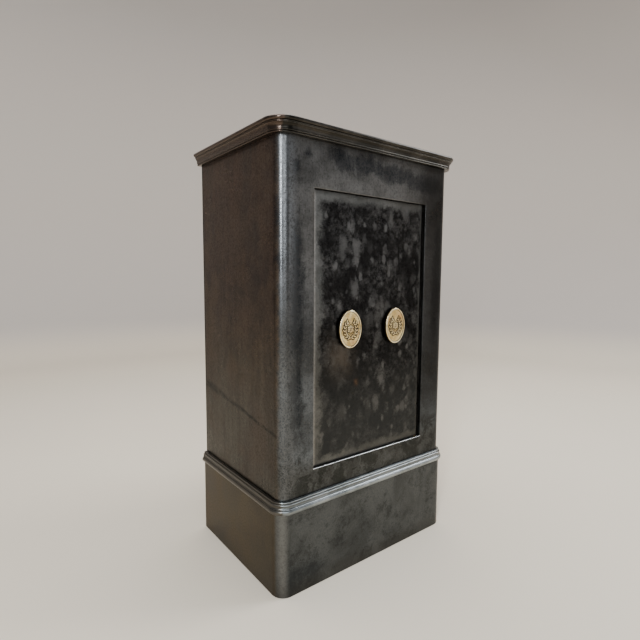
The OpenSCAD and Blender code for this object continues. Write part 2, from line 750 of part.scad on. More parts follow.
// A flat spring stands on each lever and presses it down on the curtain's side.
module lever_springs() color(steel) for (y = lever_ys)
    translate([lever_x - 18, y + lever_t, lever_z - 3.5 + lever_h]) rotate([90, 0, 0]) linear_extrude(lever_t)
        polygon([[0, 0], [0, 0.8], [-6, 0.8], [-26, 4.6], [-26, 4], [-6, 0]]);

curtain_r = 9;
module key_curtain() color(brass) difference() {
    bar_along_y(curtain_r, lock_y + lock_wall + 0.2, lock_y + lock_t - lock_wall - 0.2, lock_x, key_z);
    bar_along_y(3, lock_y, lock_y + lock_t, lock_x, key_z);
    translate([lock_x - 2, lock_y, key_z - curtain_r - 1]) cube([4, lock_t, curtain_r + 1]);
}

// ---- One node at a time ----

body_casing();
top_plate();
bottom_plate();
back_plate();
back_rivets();
cornice();
cornice_screws();
door_frame();
chamber_lining();
left_filling();
right_filling();
top_filling();
bottom_filling();
back_filling();
shelf();
shelf_ledges();
upper_hinge_pin();
lower_hinge_pin();
hinge_washer();
plinth_shell();
plinth_back();
plinth_moulding();
plinth_deck();
plinth_posts();
moulding_rivets();
holding_bolts();
door_plate();
door_pan();
pan_screws();
partition_plate();
door_filling();
door_cover();
cover_screws();
spindle_bush();
guide_studs();
keyhole_escutcheon();
escutcheon_pins();
lock_case();
lock_cap();
lock_screws();
lever_pivot();
handle_knob();
handle_spindle();
bolt_pinion();
pinion_pin();
left_bolt_bar();
left_bolts();
lock_notch_plate();
right_bolt_bar();
right_bolts();
keyhole_cover();
cover_pivot_pin();
cover_pin_washer();
lock_bolt();
lock_levers();
lever_springs();
key_curtain();
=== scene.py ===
"""The looks of a fire-resisting floor safe: aged, polished steel plates and mouldings, cast brass ovals, the
painted inside and the works in the door. Metres, in the CAD model's frame: +Z up, the door faces -Y."""

import json
import math

import bmesh
import bpy
import numpy as np
from mathutils import Matrix, Vector, noise


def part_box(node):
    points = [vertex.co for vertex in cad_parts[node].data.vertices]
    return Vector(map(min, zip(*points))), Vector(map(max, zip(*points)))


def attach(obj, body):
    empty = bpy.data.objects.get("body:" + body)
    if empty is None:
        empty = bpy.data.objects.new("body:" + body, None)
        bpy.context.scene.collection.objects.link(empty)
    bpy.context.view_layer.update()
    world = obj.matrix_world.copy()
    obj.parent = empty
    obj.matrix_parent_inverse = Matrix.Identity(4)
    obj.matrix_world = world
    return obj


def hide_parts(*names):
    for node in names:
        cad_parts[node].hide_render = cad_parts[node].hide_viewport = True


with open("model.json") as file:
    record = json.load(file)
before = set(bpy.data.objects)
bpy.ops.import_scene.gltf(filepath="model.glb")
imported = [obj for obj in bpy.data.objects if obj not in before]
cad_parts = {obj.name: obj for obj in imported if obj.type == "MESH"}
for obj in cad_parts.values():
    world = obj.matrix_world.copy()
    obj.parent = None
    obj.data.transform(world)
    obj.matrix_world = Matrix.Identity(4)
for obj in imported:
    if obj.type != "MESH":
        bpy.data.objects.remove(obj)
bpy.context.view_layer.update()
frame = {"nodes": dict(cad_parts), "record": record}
MM = 0.001

# ---- Sizes, from the CAD nodes' own boxes where they show them ----

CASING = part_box("body_casing")
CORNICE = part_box("cornice")
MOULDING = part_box("plinth_moulding")
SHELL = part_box("plinth_shell")
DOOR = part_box("door_plate")
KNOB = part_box("handle_knob")
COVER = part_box("keyhole_cover")

FRONT = CASING[0].y
HALF_W = CASING[1].x
CORNER_R = 26 * MM
DOOR_GAP = 1.5 * MM
SIDE_T = 6 * MM
FRONT_T = 8 * MM
BACK_FLANGE = 25 * MM
PLINTH_T = 5 * MM
KNOB_T = 7 * MM
KNOB_NECK_R = 13 * MM
OPEN_X = DOOR[1].x + DOOR_GAP
OPEN_Z = (DOOR[0].z - DOOR_GAP, DOOR[1].z + DOOR_GAP)
PLATE_STEP = 14 * MM
DOOR_STEP = 9 * MM
DOOR_ARRIS = 0.9 * MM
TINY = 1e-6

# The holes through the door's plate, as (low x, high x) and (low z, high z).
KEYHOLE = ((-82 * MM, -72 * MM), (585 * MM, 605 * MM))
SPINDLE = ((67 * MM, 87 * MM), (595 * MM, 615 * MM))


# ---- Paths and meshes ----

def arc(cx, cy, rx, ry, a0, a1, n):
    """Points of a stretch of an ellipse, from angle a0 to a1 in degrees."""
    angles = [math.radians(a0 + (a1 - a0) * i / n) for i in range(n + 1)]
    return [(cx + rx * math.cos(a), cy + ry * math.sin(a)) for a in angles]


def between(marks, step):
    """Every mark, with even steps of about the given size between one mark and the next."""
    out = [marks[0]]
    for a, b in zip(marks, marks[1:]):
        n = max(1, round(abs(b - a) / step))
        out += [a + (b - a) * i / n for i in range(1, n + 1)]
    return out


def wrap_path(half_w, front, back, r, marks=(), step=PLATE_STEP, turn=18):
    """Stations (x, y, outward x, outward y) up the left side, round the front and down the right side."""
    side = [(half_w, y, 1, 0) for y in between([front + r, back], step)[1:]]
    bend = [(half_w - r + x, front + r + y, x / r, y / r) for x, y in arc(0, 0, r, r, 0, -90, turn)]
    across = between([-half_w + r, *marks, half_w - r], step)[1:-1]
    left = [(-x, y, -nx, ny) for x, y, nx, ny in reversed(side)]
    left += [(-x, y, -nx, ny) for x, y, nx, ny in bend]
    return left + [(x, front, 0, -1) for x in across] + list(reversed(bend)) + side


def new_piece(name, bm, body, material, replaces=(), sharp=35):
    """Finishes a mesh as a piece that rides on a body: smooth, with its sharp edges marked."""
    bmesh.ops.recalc_face_normals(bm, faces=bm.faces)
    for face in bm.faces:
        face.smooth = True
    for edge in bm.edges:
        edge.smooth = edge.calc_face_angle(0) < math.radians(sharp)
    mesh = bpy.data.meshes.new(name)
    bm.to_mesh(mesh)
    bm.free()
    piece = bpy.data.objects.new(name, mesh)
    bpy.context.scene.collection.objects.link(piece)
    mesh.materials.append(material)
    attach(piece, body)
    if replaces:
        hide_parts(*replaces)
    return piece


def quads(bm, a, b, closed=False):
    """Joins two rows of vertices of the same length with faces."""
    n = len(a)
    for i in range(n if closed else n - 1):
        j = (i + 1) % n
        bm.faces.new((a[i], a[j], b[j], b[i]))


def sweep(bm, path, profile):
    """A closed profile of (outwards, up) points carried along the path, with its two ends filled."""
    rows = [[bm.verts.new((x + nx * out, y + ny * out, z)) for out, z in profile] for x, y, nx, ny in path]
    for a, b in zip(rows, rows[1:]):
        quads(bm, a, b, closed=True)
    for row in (rows[0], rows[-1]):
        cap = bm.faces.new(row)
        bmesh.ops.triangulate(bm, faces=[cap])
    return rows


def dents(x, y, z, size, depth):
    """A slow unevenness of hand-worked plate, in metres, at most about the given depth."""
    at = Vector((x, y, z)) / size
    return depth * (noise.noise(at) + 0.4 * noise.noise(at * 2.7 + Vector((5, 3, 1))))


# ---- Materials ----

class Shader:
    """A material's node tree, with one short method for each kind of node."""

    def __init__(self, name):
        self.material = bpy.data.materials.new(name)
        self.material.use_nodes = True
        self.tree = self.material.node_tree
        self.bsdf = self.tree.nodes["Principled BSDF"]
        self.place = self.tree.nodes.new("ShaderNodeTexCoord").outputs["Object"]

    def node(self, kind, inputs=(), **settings):
        made = self.tree.nodes.new("ShaderNode" + kind)
        for key, value in settings.items():
            setattr(made, key, value)
        for key, value in dict(inputs).items():
            self.put(made.inputs[key], value)
        return made

    def put(self, socket, value):
        if isinstance(value, bpy.types.NodeSocket):
            self.tree.links.new(value, socket)
        elif isinstance(value, tuple) and len(value) == 3 and socket.type == "RGBA":
            socket.default_value = (*value, 1)
        else:
            socket.default_value = value

    def noise(self, scale, detail=4, rough=0.55, distortion=0.0, at=None):
        return self.node("TexNoise", {"Vector": at or self.place, "Scale": scale, "Detail": detail,
                                      "Roughness": rough, "Distortion": distortion}).outputs["Fac"]

    def cells(self, scale, at, randomness):
        return self.node("TexVoronoi", {"Vector": at, "Scale": scale, "Randomness": randomness})

    def stretch(self, x, y, z, turn=(0, 0, 0), shift=(0, 0, 0)):
        return self.node("Mapping", {"Vector": self.place, "Scale": (x, y, z), "Rotation": turn,
                                     "Location": shift}).outputs["Vector"]

    def between(self, value, low, high, to_low=0.0, to_high=1.0):
        """Carries a value from low..high to to_low..to_high, with a soft start and end."""
        return self.node("MapRange", {"Value": value, "From Min": low, "From Max": high, "To Min": to_low,
                                      "To Max": to_high}, interpolation_type="SMOOTHSTEP").outputs["Result"]

    def math(self, operation, a, b=0.0):
        return self.node("Math", {0: a, 1: b}, operation=operation).outputs[0]

    def times(self, *values):
        out = values[0]
        for value in values[1:]:
            out = self.math("MULTIPLY", out, value)
        return out

    def blend(self, factor, a, b, mode="MIX"):
        made = self.tree.nodes.new("ShaderNodeMix")
        made.data_type = "RGBA"
        made.blend_type = mode
        self.put(made.inputs[0], factor)
        self.put(made.inputs[6], a)
        self.put(made.inputs[7], b)
        return made.outputs[2]

    def axes(self):
        split = self.node("SeparateXYZ", {0: self.place})
        return split.outputs["X"], split.outputs["Y"], split.outputs["Z"]

    def attribute(self, name):
        return self.node("Attribute", attribute_name=name).outputs["Fac"]

    def bump(self, height, distance, strength=1.0, normal=None):
        made = self.node("Bump", {"Height": height, "Distance": distance, "Strength": strength})
        if normal:
            self.put(made.inputs["Normal"], normal)
        return made.outputs["Normal"]

    def finish(self, color, rough, normal=None, metallic=1.0, edge=1.0):
        self.put(self.bsdf.inputs["Base Color"], color)
        self.put(self.bsdf.inputs["Specular Tint"], (edge, edge, edge))
        self.put(self.bsdf.inputs["Roughness"], rough)
        self.put(self.bsdf.inputs["Metallic"], metallic)
        if normal:
            self.put(self.bsdf.inputs["Normal"], normal)
        return self.material


def grey(value, warm=0.0):
    """A linear grey, made warmer by a share of its own value."""
    return (value * (1 + warm), value, value * (1 - warm))


def side_share(s, half_w):
    """1 on the two sides and 0 on the front, turning over in the rounded corners."""
    x, _, _ = s.axes()
    return s.between(s.math("ABSOLUTE", x), half_w - 5 * MM, half_w - 0.5 * MM)


def band(s, value, middle, reach):
    """1 where value is at the middle, falling softly to 0 at reach to either side."""
    return s.between(s.math("ABSOLUTE", s.math("SUBTRACT", value, middle)), 0.0, reach, 1.0, 0.0)


def plate_bump(s):
    """Fine pits and sanding marks that all the polished plates share."""
    pits = s.noise(700, 3, 0.6)
    marks = s.noise(30, 3, 0.6, at=s.stretch(16, 16, 4, turn=(0, math.radians(35), 0)))
    first = s.bump(pits, 0.12 * MM, 0.35)
    return s.bump(marks, 0.08 * MM, 0.18, first)


def front_grey(s, z, clouds):
    """The front's ground: cloudy grey with slanting strokes, brighter and cooler low down as a painted floor
    reflection, darker and patched at the foot.
    """
    strokes = s.noise(30, 5, 0.7, at=s.stretch(11, 11, 0.9, turn=(0, math.radians(32), 0)))
    front = s.blend(s.between(clouds, 0.36, 0.62), (0.056, 0.054, 0.051), (0.124, 0.121, 0.116))
    front = s.blend(s.between(strokes, 0.42, 0.72, 0.0, 0.30), front, (0.040, 0.037, 0.033))
    # Painted reflection: the ground is brightened and cooled towards the bottom.
    front = s.blend(s.between(z, 820 * MM, 360 * MM), front, (1.05, 1.18, 1.34), mode="MULTIPLY")
    front = s.blend(s.between(z, 330 * MM, 270 * MM), front, (0.70, 0.66, 0.60), mode="MULTIPLY")
    patches = s.times(s.between(z, 352 * MM, 320 * MM), s.between(s.noise(17, 10, 0.76, 0.4), 0.47, 0.55))
    return s.blend(s.times(patches, 0.72), front, (0.020, 0.022, 0.019))


def scale_places(s, x, z):
    """Where scale is left on the front: down both stiles, in the top left corner and along the top rail."""
    left_stile = s.times(band(s, x, -236 * MM, 40 * MM), s.between(z, 880 * MM, 780 * MM, 0.35, 1.0),
                         s.between(z, 300 * MM, 430 * MM, 0.25, 1.0))
    top_left = s.math("MAXIMUM", s.times(band(s, x, -238 * MM, 26 * MM), band(s, z, 966 * MM, 34 * MM)),
                      s.times(band(s, x, -204 * MM, 26 * MM), band(s, z, 1000 * MM, 30 * MM)))
    rail_middle = s.math("SUBTRACT", 1002 * MM, s.times(s.math("ADD", x, 150 * MM), 0.07))
    off_rail = s.math("SUBTRACT", z, rail_middle)
    top_rail = s.times(band(s, off_rail, 0.0, 50 * MM), s.between(x, -185 * MM, -110 * MM))
    right_stile = s.times(band(s, x, 238 * MM, 36 * MM), band(s, z, 700 * MM, 480 * MM), 0.9)
    left = s.math("MAXIMUM", left_stile, top_left)
    return s.math("MAXIMUM", left, s.math("MAXIMUM", top_rail, right_stile))


def front_tones(s, x, z, clouds, speckle):
    """The front: its ground, ragged blue-black scale, a pale patch above the door, and painted shade towards
    the right.
    """
    stipple = s.noise(21, 15, 0.86, 0.2)
    wander = s.noise(11, 4, 0.6, 0.6)
    tall = s.noise(15, 7, 0.72, 0.4, at=s.stretch(1.6, 1, 0.42))
    mottle = s.math("ADD", s.times(stipple, 0.45), s.math("ADD", s.times(wander, 0.2), s.times(tall, 0.35)))
    grains = s.times(s.math("SUBTRACT", s.noise(95, 13, 0.9), 0.5), 0.42)
    dark = s.math("ADD", s.math("ADD", s.times(scale_places(s, x, z), 0.21), mottle), grains)
    scale = s.times(s.between(dark, 0.565, 0.70), s.between(speckle, 0.60, 0.40, 0.5, 0.97))
    front = s.blend(scale, front_grey(s, z, clouds), (0.0110, 0.0128, 0.0152))
    above_door = s.times(band(s, x, -60 * MM, 90 * MM), band(s, z, 946 * MM, 26 * MM))
    pale = s.times(above_door, s.between(stipple, 0.40, 0.55))
    front = s.blend(s.times(pale, 0.6), front, (0.165, 0.162, 0.156))
    # Painted shade: the front darkened towards the right, less so low down.
    painted_shade_right = s.times(s.between(x, 90 * MM, 230 * MM), s.between(z, 420 * MM, 300 * MM, 0.78, 0.38))
    return s.blend(painted_shade_right, front, (0.010, 0.009, 0.008))


def side_tones(s, z, clouds):
    """The sides: brown streaks and smudges over grey, browner high up and greyer and brighter low down as
    painted floor bounce, with one scrape.
    """
    streaks = s.noise(26, 6, 0.65, at=s.stretch(2.5, 2.5, 0.12))
    smudges = s.noise(6.5, 7, 0.66, 0.8, at=s.stretch(1, 1.6, 0.5))
    # Painted light: the sides turn greyer and brighter towards the bottom, as floor bounce.
    low = s.between(z, 260 * MM, 900 * MM, 1.0, 0.0)
    side = s.blend(low, (0.064, 0.036, 0.024), (0.084, 0.079, 0.065))
    side = s.blend(s.between(streaks, 0.35, 0.72, 0.0, 0.65), side, (0.024, 0.015, 0.010))
    side = s.blend(s.between(clouds, 0.42, 0.62, 0.0, 0.55), side, (0.090, 0.064, 0.046))
    side = s.blend(s.between(smudges, 0.50, 0.66, 0.0, 0.6), side, (0.034, 0.026, 0.022))
    return s.blend(scuff_line(s), side, (0.006, 0.005, 0.004))


def corner_tones(s, x, z, speckle, corner, color):
    """A line of rust beside the left corner; both corners rubbed pale and lightened further as painted
    highlight, a painted highlight strip by the left one, and painted shade on the front beside the corners
    low down.
    """
    rust = s.times(band(s, x, -277 * MM, 4 * MM), s.between(s.noise(14, 6, 0.7), 0.38, 0.62, 0.0, 0.8),
                   s.between(z, 380 * MM, 560 * MM, 0.15, 1.0))
    color = s.blend(rust, color, (0.230, 0.150, 0.085))
    # Painted highlight: the corners lightened beyond their rubbed wear.
    color = s.blend(s.times(corner, 0.55), color, (0.150, 0.158, 0.166))
    # Painted highlight: a pale strip on the front beside the left corner.
    painted_highlight_strip = s.times(band(s, x, -257 * MM, 30 * MM), s.between(z, 640 * MM, 880 * MM, 0.35, 0.85))
    color = s.blend(s.times(painted_highlight_strip, s.between(speckle, 0.62, 0.42, 0.3, 1.0)), color, (0.170, 0.176, 0.182))
    # Painted shade: the front beside both corners darkened low down.
    near_corner = s.between(s.math("ABSOLUTE", x), 244 * MM, 262 * MM)
    lower = s.times(near_corner, s.between(z, 640 * MM, 380 * MM, 0.0, 0.2))
    return s.blend(lower, color, (0.016, 0.016, 0.016))


def arris_tones(s, x, z, color):
    """The arrises round the opening, worn bright and least at the right, with a near-white painted highlight
    along the bottom.
    """
    worn = s.times(s.attribute("wear_and_sheen"), s.between(s.noise(55, 8, 0.75), 0.38, 0.58, 0.15, 1.0))
    worn = s.times(worn, s.between(x, 120 * MM, 186 * MM, 0.7, 0.12))
    color = s.blend(worn, color, grey(0.26, 0.03))
    # Painted highlight: the bottom arris turned near white.
    painted_sill_highlight = s.times(s.attribute("wear_and_sheen"), s.between(z, OPEN_Z[0] + 2 * MM, OPEN_Z[0] + 1 * MM))
    return s.blend(s.times(painted_sill_highlight, s.between(x, 60 * MM, 186 * MM, 0.95, 0.55)), color, (0.86, 0.87, 0.88))


def casing_steel():
    """The body's plates: cloudy grey with blue-black scale in front, browner and streaked on the sides."""
    s = Shader("casing_steel")
    x, _, z = s.axes()
    clouds = s.noise(8, 12, 0.66, 0.3)
    speckle = s.noise(230, 9, 0.80)
    front = front_tones(s, x, z, clouds, speckle)
    color = s.blend(side_share(s, HALF_W), front, side_tones(s, z, clouds))
    # The corners' mask, for their rubbed wear and painted highlight; it also lowers their roughness.
    at_corner = band(s, s.math("ABSOLUTE", x), 268 * MM, 15 * MM)
    corner = s.times(at_corner, s.between(speckle, 0.60, 0.40, 0.4, 0.9))
    color = corner_tones(s, x, z, speckle, corner, color)
    color = s.blend(s.between(speckle, 0.46, 0.66, 0.0, 0.6), color, (0.018, 0.017, 0.016))
    color = s.blend(s.between(speckle, 0.42, 0.28, 0.0, 0.4), color, (0.20, 0.19, 0.175))
    color = arris_tones(s, x, z, color)
    rough = s.between(clouds, 0.35, 0.65, 0.25, 0.36)
    rough = s.math("ADD", rough, s.between(speckle, 0.4, 0.65, 0.0, 0.10))
    rough = s.math("SUBTRACT", rough, s.times(corner, 0.07))
    return s.finish(color, rough, plate_bump(s), edge=0.8)


def scuff_line(s):
    """A faint broken scrape that runs down across the left side."""
    x, y, z = s.axes()
    slope = s.math("SUBTRACT", z, s.times(y, 0.145))
    wander = s.times(s.math("SUBTRACT", s.noise(16, 4, 0.6), 0.5), 14 * MM)
    reach = s.between(y, 0.0, 190 * MM, 7 * MM, 17 * MM)
    off = s.math("ABSOLUTE", s.math("SUBTRACT", s.math("ADD", slope, wander), 402 * MM))
    line = s.between(s.math("DIVIDE", off, reach), 0.2, 1.0, 1.0, 0.0)
    broken = s.between(s.noise(38, 6, 0.75), 0.36, 0.52)
    on_left = s.between(x, -HALF_W + 4 * MM, -HALF_W + 1 * MM)
    return s.times(line, broken, on_left, 0.95)


def plinth_steel():
    """The plinth's plates: olive grey with darker clouds, a painted highlight down the corners, darker
    towards the floor.
    """
    s = Shader("plinth_steel")
    x, _, z = s.axes()
    clouds = s.noise(9, 12, 0.68, 0.4)
    speckle = s.noise(230, 9, 0.80)
    stipple = s.noise(17, 15, 0.85, 0.3, at=s.stretch(1, 1, 1, shift=(2, 0, 0)))
    front = s.blend(s.between(clouds, 0.38, 0.62), (0.060, 0.064, 0.065), (0.096, 0.102, 0.103))
    grains = s.times(s.math("SUBTRACT", s.noise(95, 13, 0.9), 0.5), 0.5)
    mottle = s.between(s.math("ADD", stipple, grains), 0.48, 0.62, 0.0, 0.66)
    front = s.blend(mottle, front, (0.024, 0.026, 0.027))
    flecks = s.between(s.noise(40, 12, 0.85, 0.2, at=s.stretch(1, 1, 1, shift=(5, 0, 1))), 0.58, 0.70)
    front = s.blend(s.times(flecks, 0.6), front, (0.150, 0.152, 0.146))
    low_left = s.times(s.between(x, -120 * MM, -210 * MM), s.between(z, 100 * MM, 30 * MM))
    front = s.blend(s.times(low_left, s.between(stipple, 0.36, 0.52), 0.75), front, (0.022, 0.026, 0.030))
    side = s.blend(s.between(clouds, 0.36, 0.64), (0.048, 0.037, 0.022), (0.088, 0.067, 0.039))
    color = s.blend(side_share(s, SHELL[1].x), front, side)
    # Painted highlight: a pale band down both corners.
    corner = band(s, s.math("ABSOLUTE", x), SHELL[1].x - 13 * MM, 17 * MM)
    color = s.blend(s.times(corner, 0.62), color, (0.185, 0.188, 0.186))
    color = s.blend(s.between(z, 0, 50 * MM, 0.4, 0.0), color, (0.045, 0.040, 0.034))
    color = s.blend(s.between(speckle, 0.44, 0.66, 0.0, 0.40), color, (0.026, 0.024, 0.021))
    color = s.blend(s.between(speckle, 0.40, 0.28, 0.0, 0.25), color, (0.23, 0.22, 0.20))
    rough = s.between(clouds, 0.35, 0.65, 0.27, 0.38)
    rough = s.math("ADD", rough, s.between(speckle, 0.4, 0.65, 0.0, 0.10))
    return s.finish(color, rough, plate_bump(s), edge=0.8)


def moulding_steel(name, dull, bright, wear_and_highlight_tone, side_tone, soft):
    """A moulding: its bulges rubbed and given a painted highlight, its hollows rougher and darkened as
    painted shade, and browner along the sides.
    """
    s = Shader(name)
    length = s.noise(14, 6, 0.65, at=s.stretch(1, 1, 0.2))
    speckle = s.noise(260, 8, 0.78)
    color = s.blend(s.between(length, 0.38, 0.62), dull, bright)
    # Painted shade: the hollows darkened nearly to black.
    hollow = s.attribute("hollow")
    color = s.blend(s.times(hollow, 0.92), color, (0.012, 0.011, 0.010))
    # Rubbed wear and painted highlight on the bulges, brightest on the plinth's moulding.
    high = s.times(s.attribute("wear_and_sheen"), s.between(length, 0.3, 0.62, 0.55, 0.95))
    color = s.blend(high, color, wear_and_highlight_tone)
    color = s.blend(s.times(side_share(s, HALF_W), 0.92), color, side_tone)
    # More painted shade in the hollows.
    color = s.blend(s.times(hollow, 0.7), color, (0.014, 0.012, 0.010))
    color = s.blend(s.between(speckle, 0.48, 0.70, 0.0, 0.30), color, (0.030, 0.027, 0.024))
    rough = s.math("ADD", s.between(length, 0.3, 0.7, soft, soft + 0.07), s.times(hollow, 0.18))
    return s.finish(color, rough, s.bump(speckle, 0.012 * MM, 0.2))


def door_border(s, x, grain):
    """The plain grey steel round the door's middle, with painted shade darkening it to the right."""
    clouds = s.noise(9, 9, 0.62, 0.4)
    plain = s.blend(s.between(clouds, 0.38, 0.62), (0.084, 0.085, 0.080), (0.131, 0.131, 0.125))
    plain = s.blend(s.between(grain, 0.46, 0.68, 0.0, 0.6), plain, (0.030, 0.028, 0.025))
    # Painted shade: darker to the right, where the face reflects a darker room.
    return s.blend(s.between(x, 20 * MM, 150 * MM, 0.0, 0.55), plain, (0.046, 0.046, 0.043))


def door_middle(s, z, grain, ovals):
    """Near-black scale, worn to grey in places and lighter low down, with the paler ovals on it."""
    calm = s.between(s.noise(13, 5, 0.6, 0.4), 0.42, 0.60, 0.15, 0.85)
    worn = s.times(s.between(grain, 0.44, 0.64), calm)
    black = s.blend(worn, (0.0082, 0.0078, 0.0076), (0.088, 0.086, 0.084))
    black = s.blend(s.between(z, 600 * MM, 340 * MM, 0.0, 0.55), black, (0.049, 0.052, 0.053))
    return s.blend(s.times(ovals, s.between(grain, 0.34, 0.6, 0.7, 1.0)), black, (0.134, 0.132, 0.129))


def door_marks(s, x, z, grain, ragged, color):
    """A brown patch below the keyhole cover, a spot of rust and a painted reflection at the knob's left."""
    below_cover = s.times(band(s, x, -98 * MM, 66 * MM), band(s, z, 545 * MM, 85 * MM))
    brown = s.times(below_cover, s.between(ragged, 0.36, 0.56))
    color = s.blend(s.times(brown, 0.8), color, (0.088, 0.075, 0.062))
    spot = s.times(band(s, x, -50 * MM, 12 * MM), band(s, z, 470 * MM, 14 * MM))
    rust = s.times(spot, s.between(grain, 0.35, 0.6))
    color = s.blend(s.times(rust, 0.8), color, (0.120, 0.070, 0.042))
    # Painted reflection: a pale glow on the door at the knob's upper left.
    painted_glow_by_knob = s.times(band(s, x, 30 * MM, 34 * MM), band(s, z, 640 * MM, 44 * MM))
    return s.blend(s.times(painted_glow_by_knob, s.between(grain, 0.3, 0.6), 0.7), color, (0.110, 0.107, 0.102))


def door_steel():
    """The door's face: a plain worn border round a near-black middle with soft paler ovals."""
    s = Shader("door_steel")
    x, _, z = s.axes()
    to_left = s.math("SUBTRACT", x, DOOR[0].x)
    to_right = s.math("SUBTRACT", DOOR[1].x, x)
    to_low = s.math("SUBTRACT", z, DOOR[0].z)
    to_high = s.math("SUBTRACT", DOOR[1].z, z)
    ragged = s.noise(20, 15, 0.86, 0.2)
    sides = s.math("MINIMUM", s.times(to_left, 0.78), s.times(to_right, 1.6))
    edge = s.math("MINIMUM", sides, s.math("MINIMUM", to_low, s.times(to_high, 0.9)))
    edge = s.math("ADD", edge, s.times(s.math("SUBTRACT", ragged, 0.5), 84 * MM))

    speckle = s.noise(190, 10, 0.84)
    grain = s.noise(75, 12, 0.86)
    ovals = soft_ovals(s)
    middle = s.between(edge, 9 * MM, 25 * MM)
    color = s.blend(middle, door_border(s, x, grain), door_middle(s, z, grain, ovals))
    color = door_marks(s, x, z, grain, ragged, color)
    color = s.blend(s.between(z, 640 * MM, 360 * MM, 0.0, 0.12), color, (0.012, 0.012, 0.012))
    color = s.blend(s.between(speckle, 0.38, 0.26, 0.0, 0.35), color, (0.20, 0.19, 0.18))
    worn = s.times(s.attribute("wear_and_sheen"), s.between(speckle, 0.36, 0.60, 0.35, 1.0))
    color = s.blend(worn, color, grey(0.34, 0.05))
    rough = s.math("ADD", s.between(grain, 0.4, 0.65, 0.27, 0.40), s.times(ovals, 0.04))
    return s.finish(color, rough, plate_bump(s), edge=0.55)


def soft_ovals(s):
    """Soft-edged upright ovals of many sizes, some faint and some clear, from 0 to 1."""
    fuzz = s.math("SUBTRACT", s.noise(70, 15, 0.92), 0.5)
    bend = s.math("SUBTRACT", s.noise(24, 3, 0.5), 0.5)
    ragged = s.math("ADD", s.times(fuzz, 1.5), s.times(bend, 0.7))
    total = None
    for scale, offset, most in ((20, 0.0, 0.8), (27, 3.7, 1.0), (31, 7.1, 0.9), (42, 1.3, 0.75)):
        at = s.stretch(1.15, 0.15, 0.70, shift=(offset, 0, offset))
        cell = s.cells(scale, at=at, randomness=0.85)
        tint = s.node("SeparateColor", {0: cell.outputs["Color"]})
        reach = s.between(tint.outputs[0], 0.0, 1.0, 0.15, 0.37)
        level = s.between(tint.outputs[1], 0.20, 0.90, 0.0, most)
        distance = s.math("ADD", cell.outputs["Distance"], ragged)
        oval = s.times(s.between(s.math("SUBTRACT", reach, distance), -0.10, 0.17), level)
        total = oval if total is None else s.math("MAXIMUM", total, oval)
    return s.times(total, s.between(s.noise(8, 4, 0.55, 0.5), 0.38, 0.54, 0.35, 1.0))


def cast_brass():
    """Cast brass: gold where hands polish it, its rim brightened further as painted highlight, brown to
    black in the hollows of the relief.
    """
    s = Shader("cast_brass")
    fine = s.noise(420, 8, 0.78)
    scratches = s.noise(120, 5, 0.65, at=s.stretch(6, 6, 0.6, turn=(0, math.radians(-40), 0)))
    cloud = s.noise(55, 7, 0.68)
    gold = s.blend(s.between(cloud, 0.38, 0.62), (0.58, 0.40, 0.155), (0.88, 0.71, 0.37))
    gold = s.blend(s.between(scratches, 0.52, 0.70, 0.0, 0.40), gold, (0.40, 0.27, 0.115))
    gold = s.blend(s.between(fine, 0.48, 0.70, 0.0, 0.45), gold, (0.34, 0.23, 0.10))
    hollow = s.attribute("hollow")
    grime = s.between(s.math("ADD", hollow, s.times(s.math("SUBTRACT", cloud, 0.5), 0.4)), 0.10, 0.42)
    patina = s.times(s.between(cloud, 0.46, 0.60), s.between(s.noise(22, 3, 0.5), 0.5, 0.62))
    gold = s.blend(s.times(patina, 0.7), gold, (0.42, 0.20, 0.07))
    x, _, z = s.axes()
    upper_right = s.times(band(s, x, 96 * MM, 22 * MM), band(s, z, 628 * MM, 24 * MM))
    upper_right = s.times(upper_right, s.between(cloud, 0.35, 0.55))
    gold = s.blend(s.times(upper_right, 0.7), gold, (0.50, 0.25, 0.08))
    rim = s.attribute("wear_and_sheen")
    # Rubbed rim and high relief, with the rim's colour raised as painted highlight.
    polish_and_highlight = s.times(rim, s.between(s.noise(38, 3, 0.5), 0.36, 0.60, 0.35, 0.9))
    gold = s.blend(polish_and_highlight, gold, (1.0, 0.90, 0.62))
    color = s.blend(s.times(grime, 0.97), gold, (0.022, 0.014, 0.007))
    rough = s.math("ADD", s.between(fine, 0.35, 0.65, 0.24, 0.36), s.times(grime, 0.3))
    rough = s.math("SUBTRACT", rough, s.times(rim, 0.08))
    return s.finish(color, rough, s.bump(fine, 0.05 * MM, 0.35))


def plain_metal(name, low, high, rough, scale=60, bump=0.05, stretch=(1, 1, 1)):
    """A worked metal with cloudy tarnish between two colours."""
    s = Shader(name)
    at = s.stretch(*stretch)
    cloud = s.noise(scale, 5, 0.65, 0.3, at=at)
    fine = s.noise(scale * 9, 4, 0.7, at=at)
    color = s.blend(s.between(cloud, 0.32, 0.68), low, high)
    color = s.blend(s.between(fine, 0.5, 0.8, 0.0, 0.4), color, tuple(c * 0.35 for c in low))
    roughness = s.between(cloud, 0.3, 0.7, rough - 0.06, rough + 0.08)
    return s.finish(color, roughness, s.bump(fine, bump * MM, 0.5))


